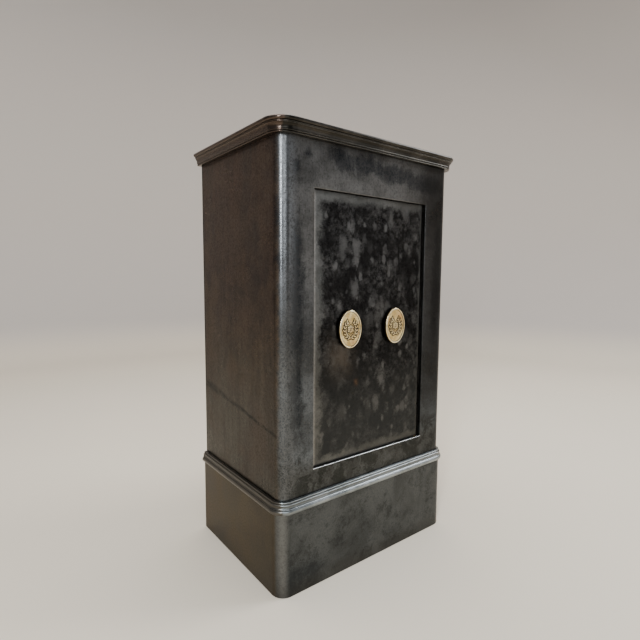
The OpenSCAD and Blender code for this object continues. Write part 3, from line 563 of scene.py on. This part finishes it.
def oxide_paint():
    """Old oxide-red paint: brush marks, darkened by handling, with chips down to primer."""
    s = Shader("oxide_paint")
    cloud = s.noise(7, 6, 0.6, 0.4)
    brush = s.noise(60, 4, 0.6, at=s.stretch(4, 4, 0.35))
    chips = s.between(s.noise(55, 6, 0.75, 0.3), 0.665, 0.69)
    color = s.blend(s.between(cloud, 0.3, 0.7), (0.088, 0.023, 0.014), (0.150, 0.043, 0.026))
    color = s.blend(s.between(brush, 0.35, 0.7, 0.0, 0.5), color, (0.060, 0.018, 0.012))
    grime = s.between(s.noise(16, 9, 0.75, 0.3), 0.46, 0.66, 0.0, 0.7)
    color = s.blend(grime, color, (0.040, 0.020, 0.014))
    color = s.blend(s.times(chips, 0.85), color, (0.16, 0.135, 0.11))
    rough = s.between(cloud, 0.3, 0.7, 0.46, 0.64)
    height = s.math("SUBTRACT", brush, chips)
    return s.finish(color, rough, s.bump(height, 0.12 * MM, 0.5), metallic=0.0)


def fire_packing():
    """Packed sawdust and alum powder."""
    s = Shader("fire_packing")
    lumps = s.noise(90, 6, 0.8)
    dust = s.noise(420, 4, 0.8)
    color = s.blend(s.between(lumps, 0.3, 0.7), (0.42, 0.34, 0.23), (0.66, 0.60, 0.48))
    color = s.blend(s.between(dust, 0.5, 0.75, 0.0, 0.5), color, (0.30, 0.20, 0.11))
    return s.finish(color, 0.95, s.bump(lumps, 0.8 * MM, 0.8), metallic=0.0)


CASING_STEEL = casing_steel()
PLINTH_STEEL = plinth_steel()
CORNICE_STEEL = moulding_steel("cornice_steel", dull=(0.026, 0.024, 0.020), bright=(0.056, 0.050, 0.042),
                               wear_and_highlight_tone=(0.19, 0.18, 0.16), side_tone=(0.078, 0.056, 0.044), soft=0.20)
MOULDING_STEEL = moulding_steel("moulding_steel", dull=(0.21, 0.23, 0.235), bright=(0.34, 0.365, 0.375),
                                wear_and_highlight_tone=(0.80, 0.84, 0.86), side_tone=(0.092, 0.082, 0.068), soft=0.27)
DOOR_STEEL = door_steel()
CAST_BRASS = cast_brass()
BACK_STEEL = plain_metal("back_steel", (0.030, 0.026, 0.022), (0.070, 0.062, 0.053), 0.52, 14, 0.15)
FRAME_IRON = plain_metal("frame_iron", (0.040, 0.036, 0.032), (0.090, 0.083, 0.075), 0.46, 34, 0.18)
WORKS_STEEL = plain_metal("works_steel", (0.26, 0.25, 0.24), (0.46, 0.46, 0.45), 0.30, 90, 0.03, (1, 3, 1))
WORKS_BRASS = plain_metal("works_brass", (0.42, 0.29, 0.13), (0.68, 0.51, 0.26), 0.33, 80, 0.03)
OXIDE_PAINT = oxide_paint()
FIRE_PACKING = fire_packing()

SLOT_MATERIALS = {
    "body_steel": CASING_STEEL,
    "back_steel": BACK_STEEL,
    "moulding_steel": MOULDING_STEEL,
    "door_steel": DOOR_STEEL,
    "medallion_brass": CAST_BRASS,
    "works_brass": WORKS_BRASS,
    "works_steel": WORKS_STEEL,
    "frame_iron": FRAME_IRON,
    "lining_paint": OXIDE_PAINT,
    "packing": FIRE_PACKING,
}


# CAD nodes whose edges are seen from close by, with the width of the bevel that softens them.
SOFT_EDGES = {
    "door_pan": 0.6 * MM,
    "door_cover": 0.3 * MM,
    "door_frame": 0.4 * MM,
    "shelf": 0.6 * MM,
    "shelf_ledges": 0.4 * MM,
    "top_plate": 0.5 * MM,
    "plinth_back": 0.4 * MM,
    "back_plate": 0.4 * MM,
    "keyhole_escutcheon": 0.3 * MM,
    "left_bolts": 0.4 * MM,
    "right_bolts": 0.4 * MM,
}


def dress_cad_nodes():
    """Gives every CAD node its slot's material, and those seen from close by a fine bevel too."""
    slots = {entry["node"]: entry["material_slot"] for entry in frame["record"]["subparts"]}
    for name, node in frame["nodes"].items():
        node.data.materials.clear()
        node.data.materials.append(SLOT_MATERIALS[slots[name]])
        if name in SOFT_EDGES:
            bevel = node.modifiers.new("soft_edges", "BEVEL")
            bevel.width = SOFT_EDGES[name]
            bevel.segments = 2
            bevel.limit_method = "ANGLE"
            bevel.angle_limit = math.radians(50)
            bevel.harden_normals = True


# ---- Body and plinth ----

CASING_ARRIS = 1.2 * MM
HOLE_X = OPEN_X + CASING_ARRIS
HOLE_Z = (OPEN_Z[0] - CASING_ARRIS, OPEN_Z[1] + CASING_ARRIS)


def casing_path():
    """The plate's outer outline from one back flange round to the other, as (x, y, outward x, outward y)."""
    back = CASING[1].y
    inward = HALF_W - SIDE_T - BACK_FLANGE
    path = wrap_path(HALF_W, FRONT, back, CORNER_R, marks=(-HOLE_X, HOLE_X))
    path[0] = (-HALF_W, back, -1, 1)
    path[-1] = (HALF_W, back, 1, 1)
    return [(-inward, back, 0, 1)] + path + [(inward, back, 0, 1)]


def casing_skin(bm, path, heights, inside):
    """Rows of vertices up the plate's outer face, slightly uneven, or up its plain inner face."""
    rows = []
    for x, y, nx, ny in path:
        thickness = SIDE_T + (FRONT_T - SIDE_T) * max(0.0, -ny)
        out = -thickness if inside else dents(x, y, 0, 0.09, 0.10 * MM)
        flat = inside or abs(ny) > 0.99 and y > 0
        row = []
        for z in heights:
            push = out if flat else out + dents(x, y, z, 0.075, 0.16 * MM)
            row.append(bm.verts.new((x + nx * push, y + ny * push, z)))
        rows.append(row)
    return rows


def hole_ring(path, heights):
    """The opening's edge, once round, as (station, height) numbers of the skin's grid."""
    front = [i for i, p in enumerate(path) if p[3] == -1 and abs(p[0]) < HOLE_X + TINY]
    level = [j for j, z in enumerate(heights) if HOLE_Z[0] - TINY < z < HOLE_Z[1] + TINY]
    left, right, low, high = front[0], front[-1], level[0], level[-1]
    ring = [(left, j) for j in range(low, high)] + [(i, high) for i in range(left, right)]
    return ring + [(right, j) for j in range(high, low, -1)] + [(i, low) for i in range(right, left, -1)]


def round_arris(bm, wear_and_sheen, edge, spots):
    """Rows of vertices from the opening's edge, at its (x, z) spots, round the arris and to the back."""
    steps = 4
    rows = [edge]
    for k in range(1, steps + 1):
        angle = math.radians(90 * k / steps)
        shift, depth = CASING_ARRIS * math.sin(angle), CASING_ARRIS * (1 - math.cos(angle))
        row = []
        for x, z in spots:
            x = math.copysign(min(abs(x), HOLE_X - shift), x)
            z = min(max(z, HOLE_Z[0] + shift), HOLE_Z[1] - shift)
            made = bm.verts.new((x, FRONT + depth, z))
            made[wear_and_sheen] = 1.0 if k < steps else 0.3
            row.append(made)
        rows.append(row)
    rows.append([bm.verts.new((v.co.x, FRONT + FRONT_T, v.co.z)) for v in rows[-1]])
    return rows


def casing():
    """The body's bent plate: a shell with its opening, rounded arrises and flanges turned in at the back."""
    path = casing_path()
    heights = between([CASING[0].z, *HOLE_Z, CASING[1].z], PLATE_STEP)
    bm = bmesh.new()
    wear_and_sheen = bm.verts.layers.float.new("wear_and_sheen")
    outer = casing_skin(bm, path, heights, inside=False)
    inner = casing_skin(bm, path, heights, inside=True)
    ring = hole_ring(path, heights)
    (left, low), (right, high) = min(ring), max(ring)
    for i in range(len(path) - 1):
        for j in range(len(heights) - 1):
            if not (left <= i < right and low <= j < high):
                bm.faces.new((outer[i][j], outer[i + 1][j], outer[i + 1][j + 1], outer[i][j + 1]))
                bm.faces.new((inner[i][j], inner[i][j + 1], inner[i + 1][j + 1], inner[i + 1][j]))
    for j in (0, -1):
        quads(bm, [row[j] for row in outer], [row[j] for row in inner])
    for i in (0, -1):
        quads(bm, outer[i], inner[i])
    spots = [(path[i][0], heights[j]) for i, j in ring]
    rows = round_arris(bm, wear_and_sheen, [outer[i][j] for i, j in ring], spots)
    rows.append([inner[i][j] for i, j in ring])
    for a, b in zip(rows, rows[1:]):
        quads(bm, a, b, closed=True)
    return new_piece("body_plate", bm, "body", CASING_STEEL, ["body_casing"])


def plinth_shell():
    """The plinth's bent plate, a little uneven, with a worn lower edge."""
    lo, hi = SHELL
    chamfer = 1 * MM
    dent = 0.16 * MM
    r = CORNER_R + (hi.x - HALF_W)
    path = wrap_path(hi.x, lo.y, hi.y, r)
    heights = between([lo.z + chamfer, hi.z], PLATE_STEP)
    profile = [(-chamfer, lo.z)] + [(0, z) for z in heights]
    profile += [(-PLINTH_T, z) for z in reversed(heights)] + [(-PLINTH_T + chamfer, lo.z)]
    bm = bmesh.new()
    rows = sweep(bm, path, profile)
    for (x, y, nx, ny), row in zip(path, rows):
        for v, (out, z) in zip(row, profile):
            if out == 0:
                push = dents(x, y, z, 0.08, dent) - dent
                v.co += Vector((nx, ny, 0)) * push
    return new_piece("plinth_plate", bm, "body", PLINTH_STEEL, ["plinth_shell"])


def door_outline():
    """The door plate's section as (x, y, wear), from the free edge's back round the front to the back."""
    lo, hi = DOOR
    arris = 1.1 * MM
    nose = (hi.y - lo.y) / 2
    points = [(lo.x, hi.y, 0.0), (lo.x, lo.y + arris, 0.5)]
    for x, y in arc(lo.x + arris, lo.y + arris, arris, arris, 180, 270, 4)[1:]:
        points.append((x, y, 0.9))
    marks = [lo.x + arris, *KEYHOLE[0], *SPINDLE[0], hi.x - nose]
    points += [(x, lo.y, 0.0) for x in between(marks, DOOR_STEP)[1:]]
    return points + [(x, y, 0.0) for x, y in arc(hi.x - nose, lo.y + nose, nose, nose, -90, 90, 18)[1:]]


def door_levels():
    """The door plate's heights, as (z, how far the front is set back there, wear)."""
    lo, hi = DOOR
    near = 0.3 * DOOR_ARRIS
    marks = sorted([lo.z + DOOR_ARRIS, hi.z - DOOR_ARRIS, *KEYHOLE[1], *SPINDLE[1]])
    levels = [(lo.z, DOOR_ARRIS, 0.6), (lo.z + near, near, 0.9)]
    levels += [(z, 0.0, 0.0) for z in between(marks, DOOR_STEP)]
    return levels + [(hi.z - near, near, 0.9), (hi.z, DOOR_ARRIS, 0.6)]


def door_rows(bm, outline, levels):
    """A row of vertices along the outline for each level, with the front slightly uneven."""
    front_y = DOOR[0].y
    wear_and_sheen = bm.verts.layers.float.new("wear_and_sheen")
    rows = []
    for z, inset, worn in levels:
        row = []
        for x, y, w in outline:
            front = y < front_y + DOOR_ARRIS
            push = 0.14 * MM + dents(x, 0.3, z, 0.06, 0.10 * MM) if y == front_y else 0
            row.append(bm.verts.new((x, max(y + push, front_y + inset) if front else y, z)))
            row[-1][wear_and_sheen] = max(w, worn) if front else 0
        rows.append(row)
    return rows


def in_door_hole(xs, zs):
    """Whether a face between two x and two z marks lies in the keyhole or in the spindle's hole."""
    return any(hx[0] - TINY < min(xs) and max(xs) < hx[1] + TINY and hz[0] - TINY < min(zs)
               and max(zs) < hz[1] + TINY for hx, hz in (KEYHOLE, SPINDLE))


def line_door_holes(bm):
    """Walls for both holes, from the front to just short of the back."""
    lo, hi = DOOR
    inset = 20 * MM
    rims = [edge for edge in bm.edges if len(edge.link_faces) == 1
            and all(lo.x + inset < v.co.x < hi.x - inset and lo.z + inset < v.co.z < hi.z - inset
                    for v in edge.verts)]
    for made in bmesh.ops.extrude_edge_only(bm, edges=rims)["geom"]:
        if isinstance(made, bmesh.types.BMVert):
            made.co.y = hi.y - 0.2 * MM


def door_face():
    """The door's thick front plate: slightly uneven, worn at its edges, pierced for key and spindle."""
    front_y = DOOR[0].y
    outline, levels = door_outline(), door_levels()
    bm = bmesh.new()
    rows = door_rows(bm, outline, levels)
    for k, (a, b) in enumerate(zip(rows, rows[1:])):
        for i, (one, two) in enumerate(zip(outline, outline[1:])):
            on_front = one[1] == two[1] == front_y
            if not (on_front and in_door_hole((one[0], two[0]), (levels[k][0], levels[k + 1][0]))):
                bm.faces.new((a[i], a[i + 1], b[i + 1], b[i]))
    line_door_holes(bm)
    for a, b in zip(rows, rows[1:]):
        bm.faces.new((a[0], b[0], b[-1], a[-1]))
    for row in (rows[0], rows[-1]):
        cap = bm.faces.new(row)
        bmesh.ops.triangulate(bm, faces=[cap])
    return new_piece("door_front", bm, "door", DOOR_STEEL, ["door_plate"])


# From the bottom: a bead, a fillet, a cove, two reeds and the rounded lip, as (outwards, up) in millimetres.
CORNICE_PROFILE = (
    [(0, 0), (11, 0)]
    + arc(11.2, 1.6, 1.6, 1.6, -80, 75, 8)
    + [(11.5, 3.4), (11.7, 4.1), (12.9, 4.4), (13.4, 4.9), (13.5, 6.4), (13.1, 7.0)]
    + arc(18.6, 7.2, 5.5, 11.2, 176, 102, 14)
    + arc(17.4, 19.2, 0.9, 0.9, -70, 80, 5)
    + arc(17.9, 21.4, 1.1, 1.1, -70, 60, 5)
    + arc(18.2, 27.2, 4.8, 4.8, -86, 90, 16)
    + [(0, 32)]
)

# From the bottom: a torus, a cove, two beads and the gap beside the body, measured from the deck's top.
MOULDING_PROFILE = (
    [(7, -24)]
    + arc(7.6, -16.8, 6.6, 7, -82, 62, 20)
    + arc(13.6, -4.6, 4.4, 6.0, 245, 172, 12)
    + arc(8.5, -1.3, 1.5, 1.5, -50, 75, 8)
    + [(7.5, 0.9), (7.3, 1.5)]
    + arc(5.8, 3.6, 1.7, 1.7, -40, 90, 8)
    + [(2.4, 5.7), (1.5, 6), (1.5, 0), (7, 0)]
)


def turn_in(profile, k):
    """How far the outline turns at a point: positive on a bulge, negative in a hollow, in radians."""
    (ax, ay), (bx, by), (cx, cy) = profile[k - 1], profile[k], profile[(k + 1) % len(profile)]
    before = math.atan2(by - ay, bx - ax)
    after = math.atan2(cy - by, cx - bx)
    return (after - before + math.pi) % (2 * math.pi) - math.pi


def bend_at(profile, k):
    """The outline's turn per millimetre, over a point and the ones beside it."""
    n = len(profile)
    total, length = 0.0, 0.0
    for i in (k - 1, k, k + 1):
        total += turn_in(profile, i % n)
        length += math.dist(profile[i % n], profile[(i + 1) % n])
    return total / max(length, 0.2)


def moulding(name, profile, base_z, back, node, material):
    """A moulding on three sides; its bulges are marked for wear and painted highlight, its hollows for
    painted shade and dullness.
    """
    dent = 0.10 * MM
    bm = bmesh.new()
    wear_and_sheen = bm.verts.layers.float.new("wear_and_sheen")
    hollow = bm.verts.layers.float.new("hollow")
    path = wrap_path(HALF_W, FRONT, back, CORNER_R, step=20 * MM, turn=24)
    rows = sweep(bm, path, [(out * MM, base_z + up * MM) for out, up in profile])
    bends = [bend_at(profile, k) for k in range(len(profile))]
    for (x, y, nx, ny), row in zip(path, rows):
        push = dent * noise.noise(Vector((x, y, base_z)) / 0.11)
        for v, bend in zip(row, bends):
            # The bulges' mark drives wear and painted highlight, the hollows' mark painted shade.
            v[wear_and_sheen] = min(max((bend - 0.45) * 0.9, 0), 1)
            v[hollow] = min(max(-bend * 1.6, 0), 1)
        for v in row[1:-1]:
            v.co += Vector((nx, ny, 0)) * (push - dent)
    return new_piece(name, bm, "body", material, [node], sharp=50)


# ---- Cast brass ovals, in millimetres from each one's middle ----

WREATH = (19.0, 21.0)
RIM_W = 5
FIELD = 1.5
SWELL = 0.35
AROUND = 400
FIELD_STEPS = 78


def leaf(x, z, cx, cz, angle, length, width):
    """Height 0 to 1 of a pointed leaf, with a groove along its middle."""
    dx, dz = x - cx, z - cz
    u = (dx * math.cos(angle) + dz * math.sin(angle)) / (length / 2)
    v = (-dx * math.sin(angle) + dz * math.cos(angle)) / (width / 2)
    edge = np.clip(1 - u * u, 0, None)
    inside = np.clip(1 - np.abs(v) / np.maximum(edge, 1e-4), 0, 1) * (np.abs(u) < 1)
    return np.sqrt(inside) * (1 - 0.35 * np.exp(-(v / 0.16) ** 2))


def boss(x, z, r):
    """Height 0 to 1 of a round boss in the middle."""
    return np.sqrt(np.clip(1 - (x ** 2 + z ** 2) / r ** 2, 0, 1))


def wreath(x, z):
    """Relief of a laurel wreath: two branches that rise from a tie at the bottom, with leaves in pairs."""
    height = np.zeros_like(x)
    rx, rz = WREATH
    pairs, lowest, step = 7, -72, 21.5
    lean, off_stem = 0.70, 2.9
    stem_r = 0.7
    for side in (-1, 1):
        for k in range(pairs):
            t = math.radians(lowest + step * k)
            cx, cz = rx * math.cos(t), rz * math.sin(t)
            along = math.atan2(rz * math.cos(t), -rx * math.sin(t))
            for way in (1, -1):
                a = along - way * lean
                px = side * (cx + way * off_stem * math.cos(t))
                pz = cz + way * off_stem * math.sin(t)
                angle = a if side > 0 else math.pi - a
                height = np.maximum(height, 0.95 * leaf(x, z, px, pz, angle, 9.8, 4.0))
        stem_t = np.arctan2(z / rz, side * x / rx)
        off = np.abs(np.hypot(x / rx, z / rz) - 1) * rx
        on = (stem_t > math.radians(-88)) & (stem_t < math.radians(66)) & (side * x > 0)
        height = np.maximum(height, 0.45 * np.sqrt(np.clip(1 - (off / stem_r) ** 2, 0, 1)) * on)
    tie = np.clip(1 - (np.abs(x) / 4.0) ** 4, 0, 1) * np.clip(1 - (np.abs(z + rz) / 2.4) ** 4, 0, 1)
    return np.maximum(height, 0.9 * tie * (0.8 + 0.2 * np.cos(x * 2.4)))


# The flower's two rings of petals: first angle, reach, rise, length and width.
PETALS = ((30, 7.0, 0.6, 8.4, 5.6), (0, 5.4, 0.85, 8.0, 4.6))


def rosette(x, z):
    """Relief of a flower with two rings of six petals and a round eye."""
    height = np.zeros_like(x)
    for first, reach, rise, length, width in PETALS:
        for k in range(6):
            t = math.radians(first + 60 * k)
            petal = leaf(x, z, reach * math.cos(t), reach * math.sin(t), t, length, width)
            height = np.maximum(height, rise * petal)
    return np.maximum(height, boss(x, z, 2.4))


def relief(x, z):
    """The casting's relief in millimetres above its field, with its top rubbed flat by handling."""
    height = np.maximum(wreath(x, z), rosette(x, z))
    return 1.15 * np.minimum(height, 0.92)


def hollows(x, z):
    """How deep each place lies below what stands close to it, from 0 to 1."""
    here = relief(x, z)
    near = np.zeros_like(x)
    for reach in (0.8, 1.6, 2.1):
        for k in range(12):
            t = 2 * math.pi * k / 12
            near = np.maximum(near, relief(x + reach * math.cos(t), z + reach * math.sin(t)))
    return np.clip((near - here - 0.22) / 0.30, 0, 1)


def oval_rings(half_w, half_h, thick):
    """Rings of (half width, half height, depth): the field's, then the ones round the rim to the back."""
    rim = [(4.6, FIELD), (4.0, FIELD * 0.55), (3.4, 0.18), (2.7, 0.0), (1.9, 0.0), (1.2, 0.12)]
    rim += [(0.6, 0.45), (0.2, 0.95), (0.0, 1.6), (0.0, thick - 0.8), (0.25, thick - 0.25)]
    rim += [(0.8, thick), (4.0, thick)]
    shares = [k / FIELD_STEPS for k in range(1, FIELD_STEPS + 1)]
    rings = [((half_w - RIM_W) * share, (half_h - RIM_W) * share, FIELD) for share in shares]
    return rings, [(half_w - d, half_h - d, depth) for d, depth in rim]


def oval_ring(bm, box, w, h, depth):
    """A ring of a casting's vertices. On the field it follows the relief, and it stores wear and hollows."""
    lo, hi = box
    hollow, wear_and_sheen = bm.verts.layers.float["hollow"], bm.verts.layers.float["wear_and_sheen"]
    cx, cz, half_w = (lo.x + hi.x) / 2, (lo.z + hi.z) / 2, (hi.x - lo.x) / 2 / MM
    angles = np.linspace(0, 2 * math.pi, AROUND, endpoint=False)
    x, z = w * np.cos(angles), h * np.sin(angles)
    inside = w <= half_w - RIM_W and depth <= FIELD
    rise = relief(x, z) if inside else np.zeros_like(x)
    low = hollows(x, z) if inside else np.zeros_like(x)
    swell = SWELL * (1 - (w / half_w) ** 2) if inside else 0
    row = []
    for i in range(AROUND):
        y = depth - rise[i] - swell
        made = bm.verts.new((cx + x[i] * MM, lo.y + max(y, 0.05) * MM, cz + z[i] * MM))
        made[hollow] = float(low[i]) if depth <= FIELD else 0.85
        made[wear_and_sheen] = float(min(rise[i] * 0.6, 0.6)) if inside else float(depth < 0.5)
        row.append(made)
    return row


def oval_casting(name, box, body, node, thick, shank=None):
    """A cast brass oval that faces -Y, with a raised rim, a wreath in relief and any neck it has behind."""
    lo, hi = box
    cx, cz = (lo.x + hi.x) / 2, (lo.z + hi.z) / 2
    bm = bmesh.new()
    hollow = bm.verts.layers.float.new("hollow")
    bm.verts.layers.float.new("wear_and_sheen")
    field_rings, rim_rings = oval_rings((hi.x - lo.x) / 2 / MM, (hi.z - lo.z) / 2 / MM, thick / MM)
    rows = [oval_ring(bm, box, w, h, depth) for w, h, depth in field_rings + rim_rings]
    for row in rows[len(field_rings):len(field_rings) + 2]:
        for v in row:
            v[hollow] = 0.75
    for a, b in zip(rows, rows[1:]):
        quads(bm, a, b, closed=True)
    centre = bm.verts.new((cx, lo.y + 0.15 * MM, cz))
    for i in range(AROUND):
        bm.faces.new((centre, rows[0][i], rows[0][(i + 1) % AROUND]))
    bm.faces.new(rows[-1])
    if shank:
        add_shank(bm, cx, cz, lo.y + thick, shank)
    return new_piece(name, bm, body, CAST_BRASS, [node], sharp=60)


def add_shank(bm, cx, cz, start, shank):
    """The turned neck behind the knob, from its back to its end, as a lathe profile."""
    radius, end = shank
    profile = [(radius + 2 * MM, start - 0.5 * MM), (radius + 0.6 * MM, start + 0.5 * MM),
               (radius, start + 1 * MM), (radius, end - 0.4 * MM), (radius - 0.4 * MM, end)]
    rows = []
    for r, y in profile:
        ring = arc(cx, cz, r, r, 0, 360, 96)[:-1]
        rows.append([bm.verts.new((x, y, z)) for x, z in ring])
    for a, b in zip(rows, rows[1:]):
        quads(bm, a, b, closed=True)
    bm.faces.new(rows[0])
    bm.faces.new(rows[-1])


def brass_ovals():
    """The keyhole cover and the knob."""
    cover_t = COVER[1].y - COVER[0].y
    oval_casting("keyhole_cover_casting", COVER, "keyhole_flap", "keyhole_cover", cover_t)
    oval_casting("knob_casting", KNOB, "handle", "handle_knob", KNOB_T, shank=(KNOB_NECK_R, KNOB[1].y))


# ---- Stage ----

def backdrop_paint():
    """Pale paint: lighter on the floor than on the wall, with a faint unevenness."""
    s = Shader("backdrop_paint")
    _, _, z = s.axes()
    tone = s.blend(s.between(z, 0, 300 * MM), (0.86, 0.765, 0.62), (0.60, 0.545, 0.50))
    return s.finish(s.blend(s.times(s.noise(0.8, 2), 0.3), tone, (0.62, 0.57, 0.50)), 0.85, metallic=0.0)


def backdrop():
    """A pale floor that curves up into a pale wall, all round the far side."""
    bm = bmesh.new()
    reach, bend, top = 4.6, 1.4, 5.0
    line = [(reach - bend, 0.0)] + arc(reach - bend, bend, bend, bend, -90, 0, 24)[1:] + [(reach, top)]
    turns = [math.radians(a) for a in range(-46, 137, 3)]
    rows = [[bm.verts.new((r * math.cos(t), r * math.sin(t), z)) for r, z in line] for t in turns]
    centre = bm.verts.new((0, 0, 0))
    for a, b in zip(rows, rows[1:]):
        quads(bm, a, b)
        bm.faces.new((centre, a[0], b[0]))
    near_reach, near_turns = 7.0, (2.9, 3.5, 4.1, 4.7, 5.2)
    near = [bm.verts.new((near_reach * math.cos(t), near_reach * math.sin(t), 0)) for t in near_turns]
    bm.faces.new((centre, rows[-1][0], *near, rows[0][0]))
    for face in bm.faces:
        face.smooth = True
    mesh = bpy.data.meshes.new("backdrop")
    bm.to_mesh(mesh)
    bm.free()
    mesh.materials.append(backdrop_paint())
    made = bpy.data.objects.new("backdrop", mesh)
    bpy.context.scene.collection.objects.link(made)


# What the two lights at the left face: the rounded corner, somewhat above its middle.
LEFT_CORNER = (-0.27, -0.17, 0.75)

# Each soft box's place, what it faces, its width, its height, its power in watts and its colour.
SOFT_BOXES = {
    "overhead": ((0.0, 0.3, 3.8), (0, 0.3, 0), 3.0, 3.0, 110, (1.0, 0.985, 0.96)),
    "high_right": ((3.0, -1.3, 3.2), (0, 0, 0.5), 1.5, 1.5, 85, (0.92, 0.96, 1.0)),
    "left_window": ((-3.1, -2.3, 2.15), LEFT_CORNER, 0.5, 2.4, 125, (0.88, 0.94, 1.0)),
    "behind_camera": ((-1.6, -4.2, 2.0), LEFT_CORNER, 2.2, 2.4, 48, (0.93, 0.97, 1.0)),
    "front_box": ((2.4, -3.4, 1.0), (0, 0, 0.5), 1.8, 1.6, 10, (1, 1, 1)),
}


def lights():
    """The soft boxes, and a dim even light from all round."""
    for name, (place, target, width, height, power, color) in SOFT_BOXES.items():
        data = bpy.data.lights.new(name, "AREA")
        data.shape = "RECTANGLE"
        data.size, data.size_y = width, height
        data.energy = power
        data.color = color
        light = bpy.data.objects.new(name, data)
        light.location = place
        light.rotation_euler = (Vector(target) - Vector(place)).to_track_quat("-Z", "Y").to_euler()
        bpy.context.scene.collection.objects.link(light)
    world = bpy.data.worlds.new("room")
    world.use_nodes = True
    world.node_tree.nodes["Background"].inputs["Color"].default_value = (0.80, 0.82, 0.86, 1)
    world.node_tree.nodes["Background"].inputs["Strength"].default_value = 0.35
    bpy.context.scene.world = world


EYE = (-0.8062, -1.0071, 0.7309)
FOCAL_LENGTH = 25.706


def camera():
    """Eye level a little above the safe's middle, in front and to the left; angles in radians."""
    yaw, pitch, roll = 0.6574, -0.0944, 0.0057
    forward = Vector((math.sin(yaw) * math.cos(pitch), math.cos(yaw) * math.cos(pitch), math.sin(pitch)))
    level = Vector((math.cos(yaw), -math.sin(yaw), 0))
    upright = level.cross(forward)
    right = math.cos(roll) * level + math.sin(roll) * upright
    up = -math.sin(roll) * level + math.cos(roll) * upright
    data = bpy.data.cameras.new("camera")
    data.sensor_width = 36
    data.lens = FOCAL_LENGTH
    data.clip_start = 0.05
    made = bpy.data.objects.new("camera", data)
    turned = Matrix((right, up, -forward)).transposed().to_4x4()
    made.matrix_world = Matrix.Translation(EYE) @ turned
    bpy.context.scene.collection.objects.link(made)
    bpy.context.scene.camera = made


dress_cad_nodes()
casing()
plinth_shell()
door_face()
moulding("cornice_moulding", CORNICE_PROFILE, CORNICE[0].z, CORNICE[1].y, "cornice", CORNICE_STEEL)
moulding("plinth_moulding_strip", MOULDING_PROFILE, CASING[0].z, MOULDING[1].y, "plinth_moulding",
         MOULDING_STEEL)
brass_ovals()
backdrop()
lights()
camera()
